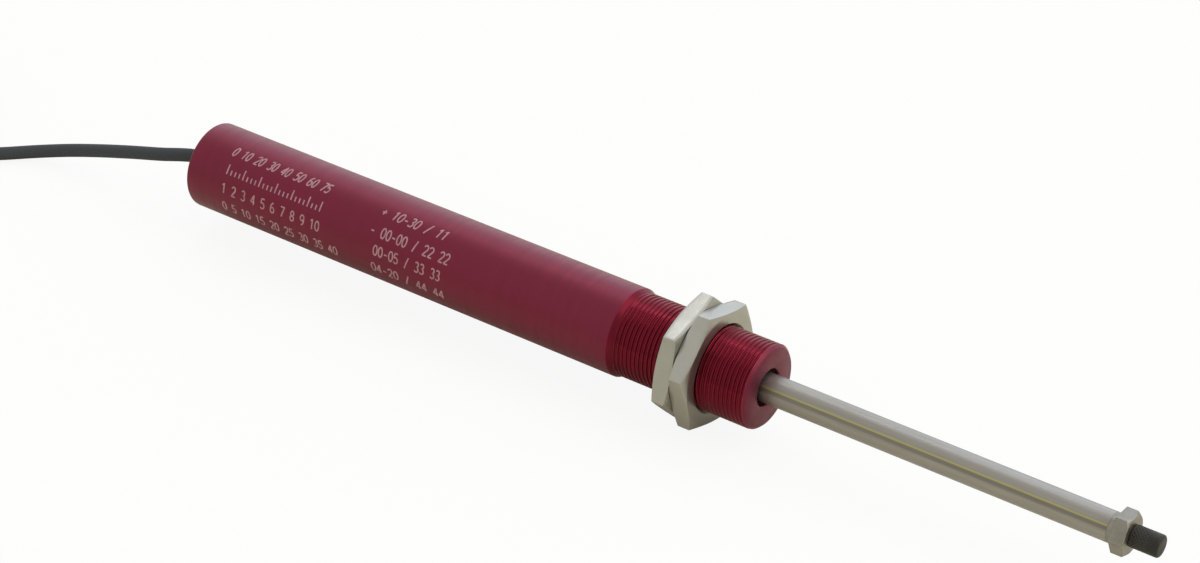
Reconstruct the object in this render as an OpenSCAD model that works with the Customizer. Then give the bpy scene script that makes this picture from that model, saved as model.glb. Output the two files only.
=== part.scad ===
// Spring-loaded linear variable inductive transducer.
// The sensing axis is X: the rod leaves the nose towards +X and the cable leaves the rear towards -X.
// The origin is on that axis where the threaded nose begins, in front of the barrel's bevel. +Z is up.

/* [Barrel] */
// Outer diameter of the plain barrel
barrel_d = 19.05; // [18.6:0.05:22]
// Length of the barrel, from the rear face to the start of the thread
barrel_len = 112; // [108:0.5:130]
// Rounding of the rear outer edge
rear_round = 0.4; // [0.1:0.1:0.7]
// Axial length of the bevel that leads from the barrel down to the nose thread
shoulder_bevel = 0.9; // [0.2:0.1:1.5]
// Wall of the barrel round the piston and the spring
barrel_wall = 2.5; // [2.3:0.05:3]
// Thinner wall behind the probe holder, round the electronics
rear_wall = 2; // [1.6:0.05:2.2]

/* [Nose] */
// Major diameter of the fine nose thread
thread_d = 18; // [17.6:0.05:18.2]
// Length of the nose, from the start of its thread to its face
nose_len = 31.8; // [29:0.1:40]
// Chamfer at the nose face, radial size
nose_chamfer = 0.6; // [0.4:0.1:1.4]
// Length of that chamfer along the axis
nose_chamfer_len = 0.6; // [0.4:0.1:2]
// Hole in the nose face
nose_bore_d = 8; // [7.4:0.1:9]
// Chamfer at the mouth of that hole
mouth_chamfer = 0.2; // [0.1:0.1:0.5]
// Thickness of the nose face wall
nose_wall = 2.8; // [1.5:0.1:4]
// Pocket in the nose for the bearing and the wiper ring
pocket_d = 11; // [10.4:0.1:12]
// Length of the plain bearing
bearing_len = 11; // [8:0.5:13]

/* [Mounting nuts] */
// Width of each nut across its flats
nut_af = 24; // [22:0.5:27]
// Thickness of each nut
nut_t = 4; // [3:0.5:6]
// Distance from the start of the thread to the plane where the two nuts meet
nut_meet_x = 16.45; // [14:0.05:20]
// Turn of each nut away from a corner straight down, in degrees
nut_turn = 15.4; // [5:0.1:25]
// Diameter of the flat ring on each nut face, inside its chamfer
nut_face_d = 23.7; // [21:0.1:24]
// Slope of that chamfer, in degrees
nut_bevel_angle = 18; // [10:1:30]
// Radial size of the countersink at each end of a nut's thread
nut_sink = 0.55; // [0.2:0.05:1]

/* [Rod] */
// Outer diameter of the rod
rod_d = 6.2; // [6:0.05:6.6]
// Wall of the rod tube
rod_wall = 0.6; // [0.4:0.05:0.7]
// Travel of the rod
stroke = 75; // [60:1:76]
// Length of rod seen between the nose face and the hexagon, fully out
rod_out = 77.2; // [76.5:0.1:95]
// Width across flats of the hexagon at the rod's end
hex_af = 8; // [7:0.5:10]
// Thickness of the hexagon
hex_t = 3; // [2:0.5:5]
// Turn of the hexagon away from a corner straight down, in degrees
hex_turn = 26; // [0:1:30]
// Collar of the end plug between tube and hexagon
collar_len = 1.2; // [0.5:0.1:3]
// Length of the end plug inside the tube
plug_len = 8; // [6:0.5:10]

/* [Contact tip] */
// Diameter of the knurled contact tip
tip_d = 4.6; // [4:0.1:5.5]
// Length of the contact tip in front of the hexagon
tip_len = 6; // [5:0.5:12]
// Rounding of the contact tip's end
tip_round = 0.4; // [0.1:0.1:0.8]
// Diameter of the stud that holds the contact tip
stud_d = 3; // [2.5:0.1:3.4]
// Length of that stud
stud_len = 8; // [5:0.5:9]

/* [Piston and spring] */
// Length of the piston's running land
piston_len = 6; // [4:0.5:8]
// Length of the spigot that centres the spring
spigot_len = 2; // [1:0.5:3]
// Thickness of the soft stop washer
washer_t = 1.5; // [1:0.1:3]
// Wire diameter of the return spring
wire_d = 0.65; // [0.45:0.05:0.8]
// Radial gap between the return spring and the bore
spring_gap = 0.85; // [0.4:0.05:1]
// Number of turns of the return spring
spring_turns = 14; // [10:1:16]

/* [Probe] */
// Thickness of the probe holder
holder_t = 4; // [3:0.5:6]
// Length of the boss on the holder, which centres the spring
boss_len = 3; // [2:0.5:4]
// Diameter of the coil's core rod
former_d = 2.4; // [1.6:0.1:2.8]
// Thickness of the copper winding
winding_t = 0.6; // [0.3:0.05:0.7]
// Wall of the sleeve over the winding
sleeve_wall = 0.2; // [0.1:0.05:0.3]
// Length of the bead on the probe's end
bead_len = 2; // [1:0.5:3]

/* [Rear end] */
// Thickness of the flange of the rear cap
flange_t = 1.7; // [1.2:0.1:3]
// Length of the rear cap in front of its flange
cap_len = 4; // [3.4:0.1:6]
// Depth of the step that the flange sits against
flange_step = 0.7; // [0.4:0.1:0.9]
// Thickness of the retaining ring
ring_t = 1; // [0.6:0.1:1.4]
// Distance from the rear face to the retaining ring
ring_land = 0.8; // [0.5:0.1:1.5]
// Depth of the retaining ring's groove
ring_groove = 0.5; // [0.3:0.05:0.55]
// Cross section of the cap seal
seal_d = 1.5; // [1:0.1:1.8]

/* [Electronics] */
// Wall of the insulating sleeve round the electronics
spacer_wall = 0.75; // [0.5:0.05:1]
// Thickness of the circuit board
board_t = 1.2; // [0.8:0.1:1.6]
// Side of the square signal chip
chip_side = 5; // [3:0.5:7]
// Height of the signal chip
chip_h = 0.9; // [0.5:0.1:1.5]

/* [Cable] */
// Diameter of the cable
cable_d = 3; // [2.6:0.1:3.4]
// Length of the grommet behind the rear face
boot_len = 3; // [2:0.5:4]
// Diameter of each core of the cable
lead_d = 1.1; // [0.9:0.05:1.3]
// Length of the bare end of each core
bare_len = 6; // [4:0.5:10]

/* [Hidden] */
$fn = 64;

// Clearances
run_fit = 0.05;
close_fit = 0.03;
seat_gap = 0.05;

// Radii of the driving diameters
barrel_r = barrel_d / 2;
thread_r = thread_d / 2;
bore_r = barrel_r - barrel_wall;
rear_bore_r = barrel_r - rear_wall;
pocket_r = pocket_d / 2;
nose_bore_r = nose_bore_d / 2;
rod_r = rod_d / 2;
rod_in_r = rod_r - rod_wall;
cable_r = cable_d / 2;

// Places along the axis, from the nose back to the probe holder
wiper_r = (pocket_r - rod_r - 2 * close_fit) / 2;
pocket_floor_x = nose_len - nose_wall;
wiper_x = pocket_floor_x - wiper_r - close_fit;
bearing_x1 = wiper_x - wiper_r - close_fit;
pocket_x = bearing_x1 - bearing_len;
piston_x1 = pocket_x - washer_t - seat_gap;
piston_x0 = piston_x1 - piston_len;
spring_short = (spring_turns + 1) * wire_d + 1;
holder_x1 = piston_x0 - stroke - spring_short;
holder_x0 = holder_x1 - holder_t;

// The rod and its end
hex_x = nose_len + rod_out;
tube_x0 = piston_x0 + 1;
tube_x1 = hex_x - collar_len;
plug_x0 = tube_x1 - plug_len;
tip_x0 = hex_x + hex_t;
tip_x1 = tip_x0 + tip_len;

// The probe stays clear of the end plug when the rod is fully in
probe_x1 = plug_x0 - stroke - 1.5;
winding_r = former_d / 2 + winding_t;
sleeve_in_r = winding_r + close_fit;
sleeve_r = sleeve_in_r + sleeve_wall;
sleeve_seat = 2;
sleeve_x0 = holder_x1 + boss_len - sleeve_seat;
winding_x0 = holder_x1 + boss_len + 0.2;
bead_x0 = probe_x1 - bead_len;

// The rear end
ring_x0 = ring_land - barrel_len;
ring_x1 = ring_x0 + ring_t;
flange_x1 = ring_x1 + flange_t;
cap_x1 = flange_x1 + cap_len;
press_gap = 0.01;
counterbore_r = rear_bore_r + flange_step;
grommet_r = cable_r + 0.9;
grommet_flange_r = cable_r + 2.4;
grommet_flange_t = 1.1;
exit_x = -barrel_len - boot_len;
crimp_len = 2;
inner_x1 = cap_x1 + crimp_len + 0.6;
spacer_in_r = rear_bore_r - run_fit - spacer_wall;
board_x0 = inner_x1 + 1.5;
board_x1 = holder_x0 - 0.6;
board_w = 2 * sqrt(pow(spacer_in_r - run_fit, 2) - pow(board_t / 2, 2));

// The spring's boss and spigot stay inside its turns, and the pins inside the boss
spring_r = bore_r - spring_gap - wire_d / 2;
spring_seat_r = spring_r - wire_d / 2 - 0.25;
pin_r = 0.3;
pin_z = board_t / 2 + pin_r + 0.02;
pin_pitch = 0.85;
pin_y = spring_seat_r - 0.7;
pin_places = [-pin_y, pin_pitch - pin_y, pin_y - pin_pitch, pin_y];

// The nuts and the surface that their lowest corners stand on
nut_corner_r = nut_af / 2 / cos(30);
floor_z = -nut_corner_r * cos(nut_turn);
nut_bore_r = thread_r + run_fit;

// The free cable's open stretch: points on its middle line, counted from where it leaves the grommet
CABLE_ROUTE = [
    [0, 0, 0], [-3, 0, 0], [-6.5, -0.9, -0.5], [-11, -2.1, -1.4], [-19, -2.8, -3.4], [-29, -2.9, -6.5],
    [-38, -3.7, -9.2], [-46, -6.3, -11.1], [-52.5, -10.8, -11.8], [-59, -16, -11.8],
    [-65.5, -21.2, -11.8], [-72, -26.4, -11.8], [-75, -28.8, -11.8]
];
// The coil of the rest of the cable, also counted from there
coil_centre = [-87.5, -13.2];
coil_mid_r = 17;
coil_columns = 3;
coil_side = coil_columns * cable_d + 0.2;
tie_angle = 100;
tie_t = 0.6;
tie_w = 3.5;
// The four cores at the free end lie on the coil: where they start, and where each one settles
lead_angle = -20;
lead_start_r = 14;
lead_start_z = -5.7;
LEAD_OFFSETS = [[-0.6, -0.6], [-0.6, 0.6], [0.6, -0.6], [0.6, 0.6]];
LEAD_SETTLED = [-3.2, -1.1, 1, 3.1];

// Places its children on the axis at x, with their own Z pointing along +X
module along_x(x) {
    translate([x, 0, 0]) rotate([0, 90, 0]) children();
}

// A plain ring or tube along X
module ring_x(x0, x1, outer_r, inner_r) {
    along_x(x0) difference() {
        cylinder(r = outer_r, h = x1 - x0);
        translate([0, 0, -1]) cylinder(r = inner_r, h = x1 - x0 + 2);
    }
}

// A ring of round cross section round the axis
module seal_ring(x, mid_r, section_r) {
    along_x(x) rotate_extrude() translate([mid_r, 0]) circle(r = section_r);
}

// Unit vector
function unit(v) = v / norm(v);
// Direction of a route at its point i
function heading_at(route, i) =
    i == 0 ? unit(route[1] - route[0])
    : i == len(route) - 1 ? unit(route[i] - route[i - 1])
    : unit(unit(route[i] - route[i - 1]) + unit(route[i + 1] - route[i]));
// One ring of points round a route's point, with one point straight below it
function ring_at(p, along, r, sides) =
    let (side = unit(cross(along, [0, 0, 1])), up = cross(side, along))
    [for (k = [0:sides - 1]) p + r * (sin(k * 360 / sides) * side - cos(k * 360 / sides) * up)];

// A tube of the given radius swept along a route
module swept(route, r, sides = 8) {
    n = len(route);
    rings = [for (i = [0:n - 1]) each ring_at(route[i], heading_at(route, i), r, sides)];
    walls = [for (i = [0:n - 2], k = [0:sides - 1])
        let (a = i * sides + k, b = i * sides + (k + 1) % sides)
        [a, a + sides, b + sides, b]];
    first = [for (k = [0:sides - 1]) k];
    last = [for (k = [sides - 1:-1:0]) (n - 1) * sides + k];
    polyhedron(points = rings, faces = concat([first], walls, [last]), convexity = 4);
}

// Barrel and threaded nose, turned from one bar. The thread is drawn at its major diameter.
module housing() {
    quarter = [for (a = [0:30:90]) [
        barrel_r - rear_round + rear_round * sin(a), rear_round - rear_round * cos(a) - barrel_len]];
    color("firebrick") along_x(0) rotate_extrude() polygon(concat(quarter, [
        [barrel_r, -shoulder_bevel],
        [thread_r, 0],
        [thread_r, nose_len - nose_chamfer_len],
        [thread_r - nose_chamfer, nose_len],
        [nose_bore_r + mouth_chamfer, nose_len],
        [nose_bore_r, nose_len - mouth_chamfer],
        [nose_bore_r, pocket_floor_x],
        [pocket_r, pocket_floor_x],
        [pocket_r, pocket_x],
        [bore_r, pocket_x],
        [bore_r, holder_x1],
        [rear_bore_r, holder_x1],
        [rear_bore_r, flange_x1],
        [counterbore_r, flange_x1],
        [counterbore_r, ring_x1],
        [counterbore_r + ring_groove, ring_x1],
        [counterbore_r + ring_groove, ring_x0],
        [counterbore_r, ring_x0],
        [counterbore_r, -barrel_len]
    ]));
}

// Plain bush that guides the rod
module front_bearing() {
    color("goldenrod") ring_x(pocket_x, bearing_x1, pocket_r - close_fit, rod_r + run_fit);
}

// Ring seal that wipes the rod
module rod_wiper() {
    color("dimgray") seal_ring(wiper_x, rod_r + close_fit + wiper_r, wiper_r);
}

// Soft washer that the piston comes to rest on
module stop_washer() {
    color("tan") ring_x(pocket_x - washer_t, pocket_x, bore_r - run_fit, rod_r + 0.5);
}

// Bulkhead that carries the probe and seats the spring
module probe_holder() {
    color("ivory") difference() {
        union() {
            along_x(holder_x0) cylinder(r = rear_bore_r - run_fit, h = holder_t);
            along_x(holder_x0) cylinder(r = spring_seat_r, h = holder_t + boss_len);
        }
        along_x(holder_x0 - 1) cylinder(r = former_d / 2 + close_fit, h = holder_t + boss_len + 2);
        along_x(sleeve_x0) cylinder(r = sleeve_r + close_fit, h = boss_len + 1);
        for (y = pin_places) translate([holder_x0 - 1, y, pin_z]) rotate([0, 90, 0])
            cylinder(r = pin_r + close_fit, h = holder_t + boss_len + 2);
    }
}

// Core rod of the coil
module probe_former() {
    color("wheat") along_x(holder_x0) cylinder(r = former_d / 2, h = probe_x1 - 1 - holder_x0);
}

// Copper winding with a thicker end bank at each end
module probe_winding() {
    bank = 3;
    x1 = bead_x0 - 0.3;
    main_r = winding_r - 0.12;
    color("chocolate") along_x(winding_x0) difference() {
        rotate_extrude() polygon([
            [0, 0], [winding_r, 0], [winding_r, bank], [main_r, bank + 0.4],
            [main_r, x1 - winding_x0 - bank - 0.4], [winding_r, x1 - winding_x0 - bank],
            [winding_r, x1 - winding_x0], [0, x1 - winding_x0]
        ]);
        translate([0, 0, -1]) cylinder(r = former_d / 2 + close_fit, h = x1 - winding_x0 + 2);
    }
}

// Thin tube over the winding
module probe_sleeve() {
    color("darkslategray") ring_x(sleeve_x0, bead_x0, sleeve_r, sleeve_in_r);
}

// Bead on the probe's end, which runs inside the hollow rod
module probe_tip() {
    round_len = 0.5;
    bead_r = rod_in_r - run_fit;
    color("white") along_x(bead_x0) difference() {
        rotate_extrude() polygon([
            [0, 0], [bead_r - 0.1, 0], [bead_r, 0.3], [bead_r, bead_len - round_len],
            [bead_r - round_len, bead_len], [0, bead_len]
        ]);
        translate([0, 0, -1]) cylinder(r = former_d / 2 + close_fit, h = bead_len);
    }
}

// Insulating sleeve round the electronics, between the cap and the holder
module spacer_sleeve() {
    color("khaki") ring_x(cap_x1, holder_x0, rear_bore_r - run_fit, spacer_in_r);
}

// Circuit board, whose long edges lie in the sleeve
module circuit_board() {
    notch_r = 0.9;
    color("darkgreen") difference() {
        translate([board_x0, -board_w / 2, -board_t / 2])
            cube([board_x1 - board_x0, board_w, board_t]);
        for (y = [-board_w / 4, board_w / 4]) translate([board_x0, y, -board_t])
            cylinder(r = notch_r, h = 2 * board_t);
    }
}

// Signal chip with its body and its two rows of legs
module signal_chip() {
    x = board_x0 + 1.5 + chip_side / 2;
    leg_w = 0.3;
    leg_out = 0.6;
    color("black") union() {
        translate([x - chip_side / 2, -chip_side / 2, board_t / 2 + 0.02])
            cube([chip_side, chip_side, chip_h]);
        for (side = [-1, 1], i = [0:floor(chip_side / 1.2) - 1])
            translate([x - chip_side / 2 + 0.7 + 1.2 * i - leg_w / 2,
                side * (chip_side / 2 + leg_out / 2) - leg_out / 2 - 0.1, board_t / 2 + 0.02])
                cube([leg_w, leg_out + 0.2, 0.25]);
    }
}

// Small capacitors and resistors on the under side of the board
module board_parts() {
    size = [2, 1.2, 0.8];
    pitch = [3.4, 2.6];
    rows = floor((board_x1 - board_x0 - 3) / pitch[0]);
    color("sienna") for (i = [0:rows - 1], j = [-1, 0, 1])
        translate([board_x0 + 2 + i * pitch[0], j * pitch[1] - size[1] / 2, -board_t / 2 - size[2] - 0.02])
            cube(size);
}

// Pins that bring the winding's ends through the holder on to the board
module feed_pins() {
    reach = 2.4;
    x0 = board_x1 - reach;
    color("gold") for (y = pin_places) translate([x0, y, pin_z]) rotate([0, 90, 0])
        cylinder(r = pin_r, h = holder_x1 + boss_len - 0.5 - x0);
}

// The cable's cores from the end of its jacket to the board
module core_wires() {
    wire_r = 0.3;
    z = board_t / 2 + wire_r + 0.02;
    color("orange") for (i = [0:3]) {
        y = (i - 1.5) * 1.7;
        start = [inner_x1, (i - 1.5) * 0.65, (i % 2 == 0 ? 0.35 : -0.35)];
        knee = [board_x0 + 0.2, y, z];
        middle = (start + knee) / 2 + [0, 0, 0.2];
        swept([start, start + [0.4, 0, 0.1], middle, knee, knee + [1, 0, 0]], wire_r);
    }
}

// Crimp ring on the jacket, which takes the pull on the cable
module cable_crimp() {
    color("silver") ring_x(cap_x1, cap_x1 + crimp_len, cable_r + 0.6, cable_r);
}

// Plug that closes the rear of the barrel
module rear_cap() {
    groove_r = rear_bore_r - close_fit - seal_d + 0.1;
    groove_w = seal_d + 0.3;
    groove_x = (cap_len - groove_w) / 2;
    body_r = rear_bore_r - run_fit;
    color("gray") along_x(ring_x1) difference() {
        rotate_extrude() polygon([
            [0, 0], [counterbore_r - run_fit, 0], [counterbore_r - run_fit, flange_t],
            [body_r, flange_t], [body_r, flange_t + groove_x],
            [groove_r, flange_t + groove_x], [groove_r, flange_t + groove_x + groove_w],
            [body_r, flange_t + groove_x + groove_w], [body_r, flange_t + cap_len],
            [0, flange_t + cap_len]
        ]);
        translate([0, 0, -1]) cylinder(r = grommet_r, h = flange_t + cap_len + 2);
    }
}

// O-ring in the cap's groove
module cap_seal() {
    section_r = seal_d / 2 - 0.05;
    color("black") seal_ring(flange_x1 + cap_len / 2, rear_bore_r - close_fit - section_r, section_r);
}

// Internal retaining ring with its two lugs
module retaining_ring() {
    outer_r = counterbore_r + ring_groove - 0.05;
    inner_r = counterbore_r - 0.9;
    lug_r = 1.1;
    lug_mid_r = inner_r + 0.2;
    gap_angle = 50;
    color("silver") along_x(ring_x0) linear_extrude(height = ring_t) difference() {
        union() {
            difference() {
                circle(r = outer_r);
                circle(r = inner_r);
                polygon([[0, 0], 2 * outer_r * [cos(gap_angle / 2), sin(gap_angle / 2)],
                    2 * outer_r * [cos(gap_angle / 2), -sin(gap_angle / 2)]]);
            }
            intersection() {
                circle(r = counterbore_r - 0.1);
                for (s = [-1, 1]) rotate(s * (gap_angle / 2 + 8)) translate([lug_mid_r, 0])
                    circle(r = lug_r);
            }
        }
        for (s = [-1, 1]) rotate(s * (gap_angle / 2 + 8)) translate([lug_mid_r - 0.1, 0])
            circle(r = 0.45);
    }
}

// Rubber sleeve where the cable leaves the cap
module cable_grommet() {
    nose_len_out = ring_x1 - grommet_flange_t - exit_x;
    tail_r = cable_r + 0.5;
    rim_r = grommet_flange_r;
    color("black") along_x(exit_x) difference() {
        rotate_extrude() polygon([
            [0, 0], [tail_r, 0], [grommet_r, nose_len_out], [rim_r - 0.3, nose_len_out],
            [rim_r, nose_len_out + 0.3], [rim_r, nose_len_out + grommet_flange_t],
            [grommet_r, nose_len_out + grommet_flange_t], [grommet_r, cap_x1 - exit_x],
            [0, cap_x1 - exit_x]
        ]);
        translate([0, 0, -1]) cylinder(r = cable_r, h = cap_x1 - exit_x + 2);
    }
}

// End of the cable's jacket inside the cap
module cable_inner() {
    color("darkslategray") along_x(exit_x) cylinder(r = cable_r, h = inner_x1 - exit_x);
}

// Plunger rod, a tube
module rod_tube() {
    color("silver") ring_x(tube_x0, tube_x1, rod_r, rod_in_r);
}

// Piston on the rod's inner end, with a spigot for the spring
module guide_piston() {
    land_r = bore_r - run_fit;
    relief_r = land_r - 0.5;
    land = piston_len / 3;
    color("white") along_x(piston_x0) difference() {
        rotate_extrude() polygon([
            [0, -spigot_len], [spring_seat_r - 0.4, -spigot_len], [spring_seat_r, 0.4 - spigot_len],
            [spring_seat_r, 0], [land_r, 0], [land_r, land], [relief_r, land + 0.3],
            [relief_r, 2 * land - 0.3], [land_r, 2 * land], [land_r, piston_len], [0, piston_len]
        ]);
        translate([0, 0, -spigot_len - 1]) cylinder(r = rod_in_r + 0.1, h = spigot_len + 2.5);
        translate([0, 0, tube_x0 - piston_x0 - press_gap]) cylinder(r = rod_r + press_gap, h = piston_len);
    }
}

// Plug in the rod's end: a spigot, a collar and a hexagon head, drilled for the tip's stud
module rod_end_plug() {
    corner_r = hex_af / 2 / cos(30);
    bevel_r = hex_af / 2 - 0.1;
    bevel = 0.35;
    color("silver") along_x(plug_x0) difference() {
        union() {
            cylinder(r = rod_in_r - close_fit, h = plug_len);
            translate([0, 0, plug_len]) cylinder(r = rod_r, h = collar_len);
            translate([0, 0, plug_len + collar_len]) intersection() {
                rotate([0, 0, hex_turn]) cylinder(r = corner_r, h = hex_t, $fn = 6);
                rotate_extrude() polygon([
                    [0, 0], [corner_r + 1, 0],
                    [corner_r + 1, hex_t - bevel - bevel * (corner_r + 1 - hex_af / 2)],
                    [bevel_r, hex_t], [0, hex_t]
                ]);
            }
        }
        translate([0, 0, plug_len + collar_len + hex_t - stud_len - 0.5])
            cylinder(r = stud_d / 2 + close_fit, h = stud_len + 1);
    }
}

// Knurled contact tip with its stud
module contact_tip() {
    r = tip_d / 2;
    end_round = [for (a = [0:30:90]) [
        r - tip_round + tip_round * cos(a), tip_len - tip_round + tip_round * sin(a)]];
    color("dimgray") along_x(tip_x0) rotate_extrude() polygon(concat([
        [0, -stud_len], [stud_d / 2 - 0.3, -stud_len], [stud_d / 2, 0.3 - stud_len],
        [stud_d / 2, 0.01], [r - 0.25, 0.01], [r, 0.26]
    ], end_round, [[0, tip_len]]));
}

// Height of the spring's middle line above its seat after u turns
function spring_rise(u, room) =
    u < 1 ? u * wire_d
    : u > spring_turns - 1 ? room - (spring_turns - u) * wire_d
    : wire_d + (u - 1) * (room - 2 * wire_d) / (spring_turns - 2);

// Compression spring with a closed turn at each end
module return_spring() {
    steps = 16;
    sides = 6;
    wire_r = wire_d / 2;
    x0 = holder_x1 + wire_r + 0.02;
    room = piston_x0 - holder_x1 - wire_d - 0.04;
    n = floor(spring_turns * steps);
    points = [for (i = [0:n], k = [0:sides - 1]) let (
        a = i * 360 / steps,
        b = k * 360 / sides,
        r = spring_r + wire_r * cos(b))
        [x0 + spring_rise(i / steps, room) + wire_r * sin(b), r * cos(a), r * sin(a)]];
    walls = [for (i = [0:n - 1], k = [0:sides - 1])
        let (a = i * sides + k, b = i * sides + (k + 1) % sides)
        [a, b, b + sides, a + sides]];
    first = [for (k = [sides - 1:-1:0]) k];
    last = [for (k = [0:sides - 1]) n * sides + k];
    color("steelblue") polyhedron(points = points, faces = concat([first], walls, [last]), convexity = 20);
}

// A thin hexagon nut, chamfered and countersunk on both sides
module hex_nut(x, turn) {
    rise = (nut_corner_r + 1 - nut_face_d / 2) * tan(nut_bevel_angle);
    face_r = nut_face_d / 2;
    big_r = nut_corner_r + 1;
    sink_r = nut_bore_r + nut_sink;
    along_x(x) difference() {
        intersection() {
            rotate([0, 0, turn]) cylinder(r = nut_corner_r, h = nut_t, $fn = 6);
            rotate_extrude() polygon([
                [0, 0], [face_r, 0], [big_r, rise], [big_r, nut_t - rise], [face_r, nut_t], [0, nut_t]
            ]);
        }
        translate([0, 0, -1]) cylinder(r = nut_bore_r, h = nut_t + 2);
        translate([0, 0, -0.01]) cylinder(r1 = sink_r, r2 = nut_bore_r, h = nut_sink);
        translate([0, 0, nut_t - nut_sink + 0.01]) cylinder(r1 = nut_bore_r, r2 = sink_r, h = nut_sink);
    }
}

// The nut nearer the barrel
module rear_nut() {
    color("gainsboro") hex_nut(nut_meet_x - nut_t - seat_gap, -nut_turn);
}

// The nut nearer the nose face
module front_nut() {
    color("gainsboro") hex_nut(nut_meet_x, nut_turn);
}

// Places its children where the cable leaves the grommet
module at_exit() {
    translate([exit_x, 0, 0]) children();
}

// Open stretch of the free cable
module cable_run() {
    color("darkslategray") at_exit() swept(CABLE_ROUTE, cable_r);
}

// Places its children on the coil's axis, at the middle of its height
module at_coil() {
    at_exit() translate([coil_centre[0], coil_centre[1], floor_z + coil_side / 2]) children();
}

// Places its children at the tie, in the middle of the coil's section
module at_tie() {
    at_coil() rotate([0, 0, tie_angle]) translate([coil_mid_r, 0, 0]) children();
}

// Outer shape of the coiled rest of the cable, with a slot under it for the tie
module cable_coil() {
    corner = 1.2;
    half = coil_side / 2 - corner;
    color("darkslategray") difference() {
        at_coil() rotate_extrude() translate([coil_mid_r, 0]) union() {
            square([coil_side, 2 * half], center = true);
            square([2 * half, coil_side], center = true);
            for (i = [-1, 1], j = [-1, 1]) translate([i * half, j * half]) circle(r = corner);
        }
        at_tie() translate([0, 0, tie_t / 2 - coil_side / 2 - 0.5])
            cube([coil_side + 2, tie_w + 0.1, tie_t + 1], center = true);
    }
}

// Band round the coil
module cable_tie() {
    room = 0.15;
    inner_w = coil_side + 2 * room;
    inner_h = coil_side + room - tie_t;
    color("black") at_tie() translate([0, 0, (tie_t + room) / 2]) rotate([90, 0, 0])
        linear_extrude(height = tie_w, center = true) difference() {
            square([inner_w + 2 * tie_t, inner_h + 2 * tie_t], center = true);
            square([inner_w, inner_h], center = true);
        }
}

// Point on core i: degrees back round the coil, a share of its way to where it settles, a height and a
// share of its lift
function lead_point(i, back, share, z, lift) =
    let (
        off = LEAD_OFFSETS[i],
        r = (1 - share) * (lead_start_r + off[0]) + share * (coil_mid_r + LEAD_SETTLED[i]),
        a = lead_angle - back
    )
    [coil_centre[0] + r * cos(a), coil_centre[1] + r * sin(a), z + lift * off[1]];
// Degrees that a length takes up round the coil, at the place where core i settles
function lead_arc(i, length) = length / (coil_mid_r + LEAD_SETTLED[i]) * 180 / PI;
// Route of core i at the free end, from the jacket up on to the coil and round on top of it
function lead_route(i) =
    let (top = floor_z + coil_side + lead_d / 2 + 0.02) concat([
        lead_point(i, 0, 0, lead_start_z, 1), lead_point(i, 14, 0.05, lead_start_z + 1, 1),
        lead_point(i, 31, 0.2, top + 0.62, 1), lead_point(i, 52, 0.5, top + 0.5, 0.8),
        lead_point(i, 73, 0.85, top + 0.2, 0.3)
    ], [for (k = [1:4]) lead_point(i, 73 + lead_arc(i, k * 4.5), 1, top, 0)]);
// The bare end of core i
function bare_route(i) =
    let (route = lead_route(i), n = len(route), along = unit(route[n - 1] - route[n - 2]))
    [route[n - 1], route[n - 1] + bare_len * along];

// One insulated core
module lead(i) {
    at_exit() swept(lead_route(i), lead_d / 2);
}

module lead_red() {
    color("red") lead(0);
}

module lead_black() {
    color("black") lead(1);
}

module lead_green() {
    color("green") lead(2);
}

module lead_white() {
    color("white") lead(3);
}

// The four tinned ends
module lead_tips() {
    bare_r = lead_d / 2 - 0.2;
    color("silver") at_exit() for (i = [0:3]) swept(bare_route(i), bare_r);
}

housing();
front_bearing();
rod_wiper();
stop_washer();
probe_holder();
probe_former();
probe_winding();
probe_sleeve();
probe_tip();
spacer_sleeve();
circuit_board();
signal_chip();
board_parts();
feed_pins();
core_wires();
cable_crimp();
rear_cap();
cap_seal();
retaining_ring();
cable_grommet();
cable_inner();
rod_tube();
guide_piston();
rod_end_plug();
contact_tip();
return_spring();
rear_nut();
front_nut();
cable_run();
cable_coil();
cable_tie();
lead_red();
lead_black();
lead_green();
lead_white();
lead_tips();
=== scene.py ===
"""Spring-loaded linear inductive position sensor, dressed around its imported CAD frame.

Sizes are in millimetres and in the part's own frame: the barrel lies along X, its shoulder at x = 0,
the nose and the rod point to +X, and Z is up. A mesh is turned into metres when it is made.
"""

import logging
import math
from dataclasses import dataclass
from enum import Enum
from functools import cache

import bpy
import numpy as np
from mathutils import Matrix, Vector


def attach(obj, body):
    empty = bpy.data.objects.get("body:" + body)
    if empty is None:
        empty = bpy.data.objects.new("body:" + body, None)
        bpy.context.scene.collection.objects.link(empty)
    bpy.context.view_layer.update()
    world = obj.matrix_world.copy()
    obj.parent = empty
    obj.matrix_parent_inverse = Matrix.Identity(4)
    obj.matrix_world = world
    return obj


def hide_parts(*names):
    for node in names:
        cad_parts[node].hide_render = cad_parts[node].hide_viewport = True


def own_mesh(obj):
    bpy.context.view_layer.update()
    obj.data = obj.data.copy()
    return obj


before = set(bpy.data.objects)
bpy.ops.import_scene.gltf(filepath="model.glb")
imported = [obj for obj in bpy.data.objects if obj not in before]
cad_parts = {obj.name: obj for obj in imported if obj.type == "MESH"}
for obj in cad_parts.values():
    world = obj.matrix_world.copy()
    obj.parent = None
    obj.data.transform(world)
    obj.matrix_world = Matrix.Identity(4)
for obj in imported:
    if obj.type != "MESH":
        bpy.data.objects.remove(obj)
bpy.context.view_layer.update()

logging.basicConfig(level=logging.INFO, format="%(message)s")
LOG = logging.getLogger("sensor")

MM = 0.001
FLOOR_Z = -13.3585
Colour = tuple[float, float, float]
Point = tuple[float, float, float]
Object = bpy.types.Object
Tree = bpy.types.NodeTree
Socket = bpy.types.NodeSocket
Value = float | tuple | Socket
NUMBER, VECTOR, COLOUR = "NodeSocketFloat", "NodeSocketVector", "NodeSocketColor"


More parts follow.
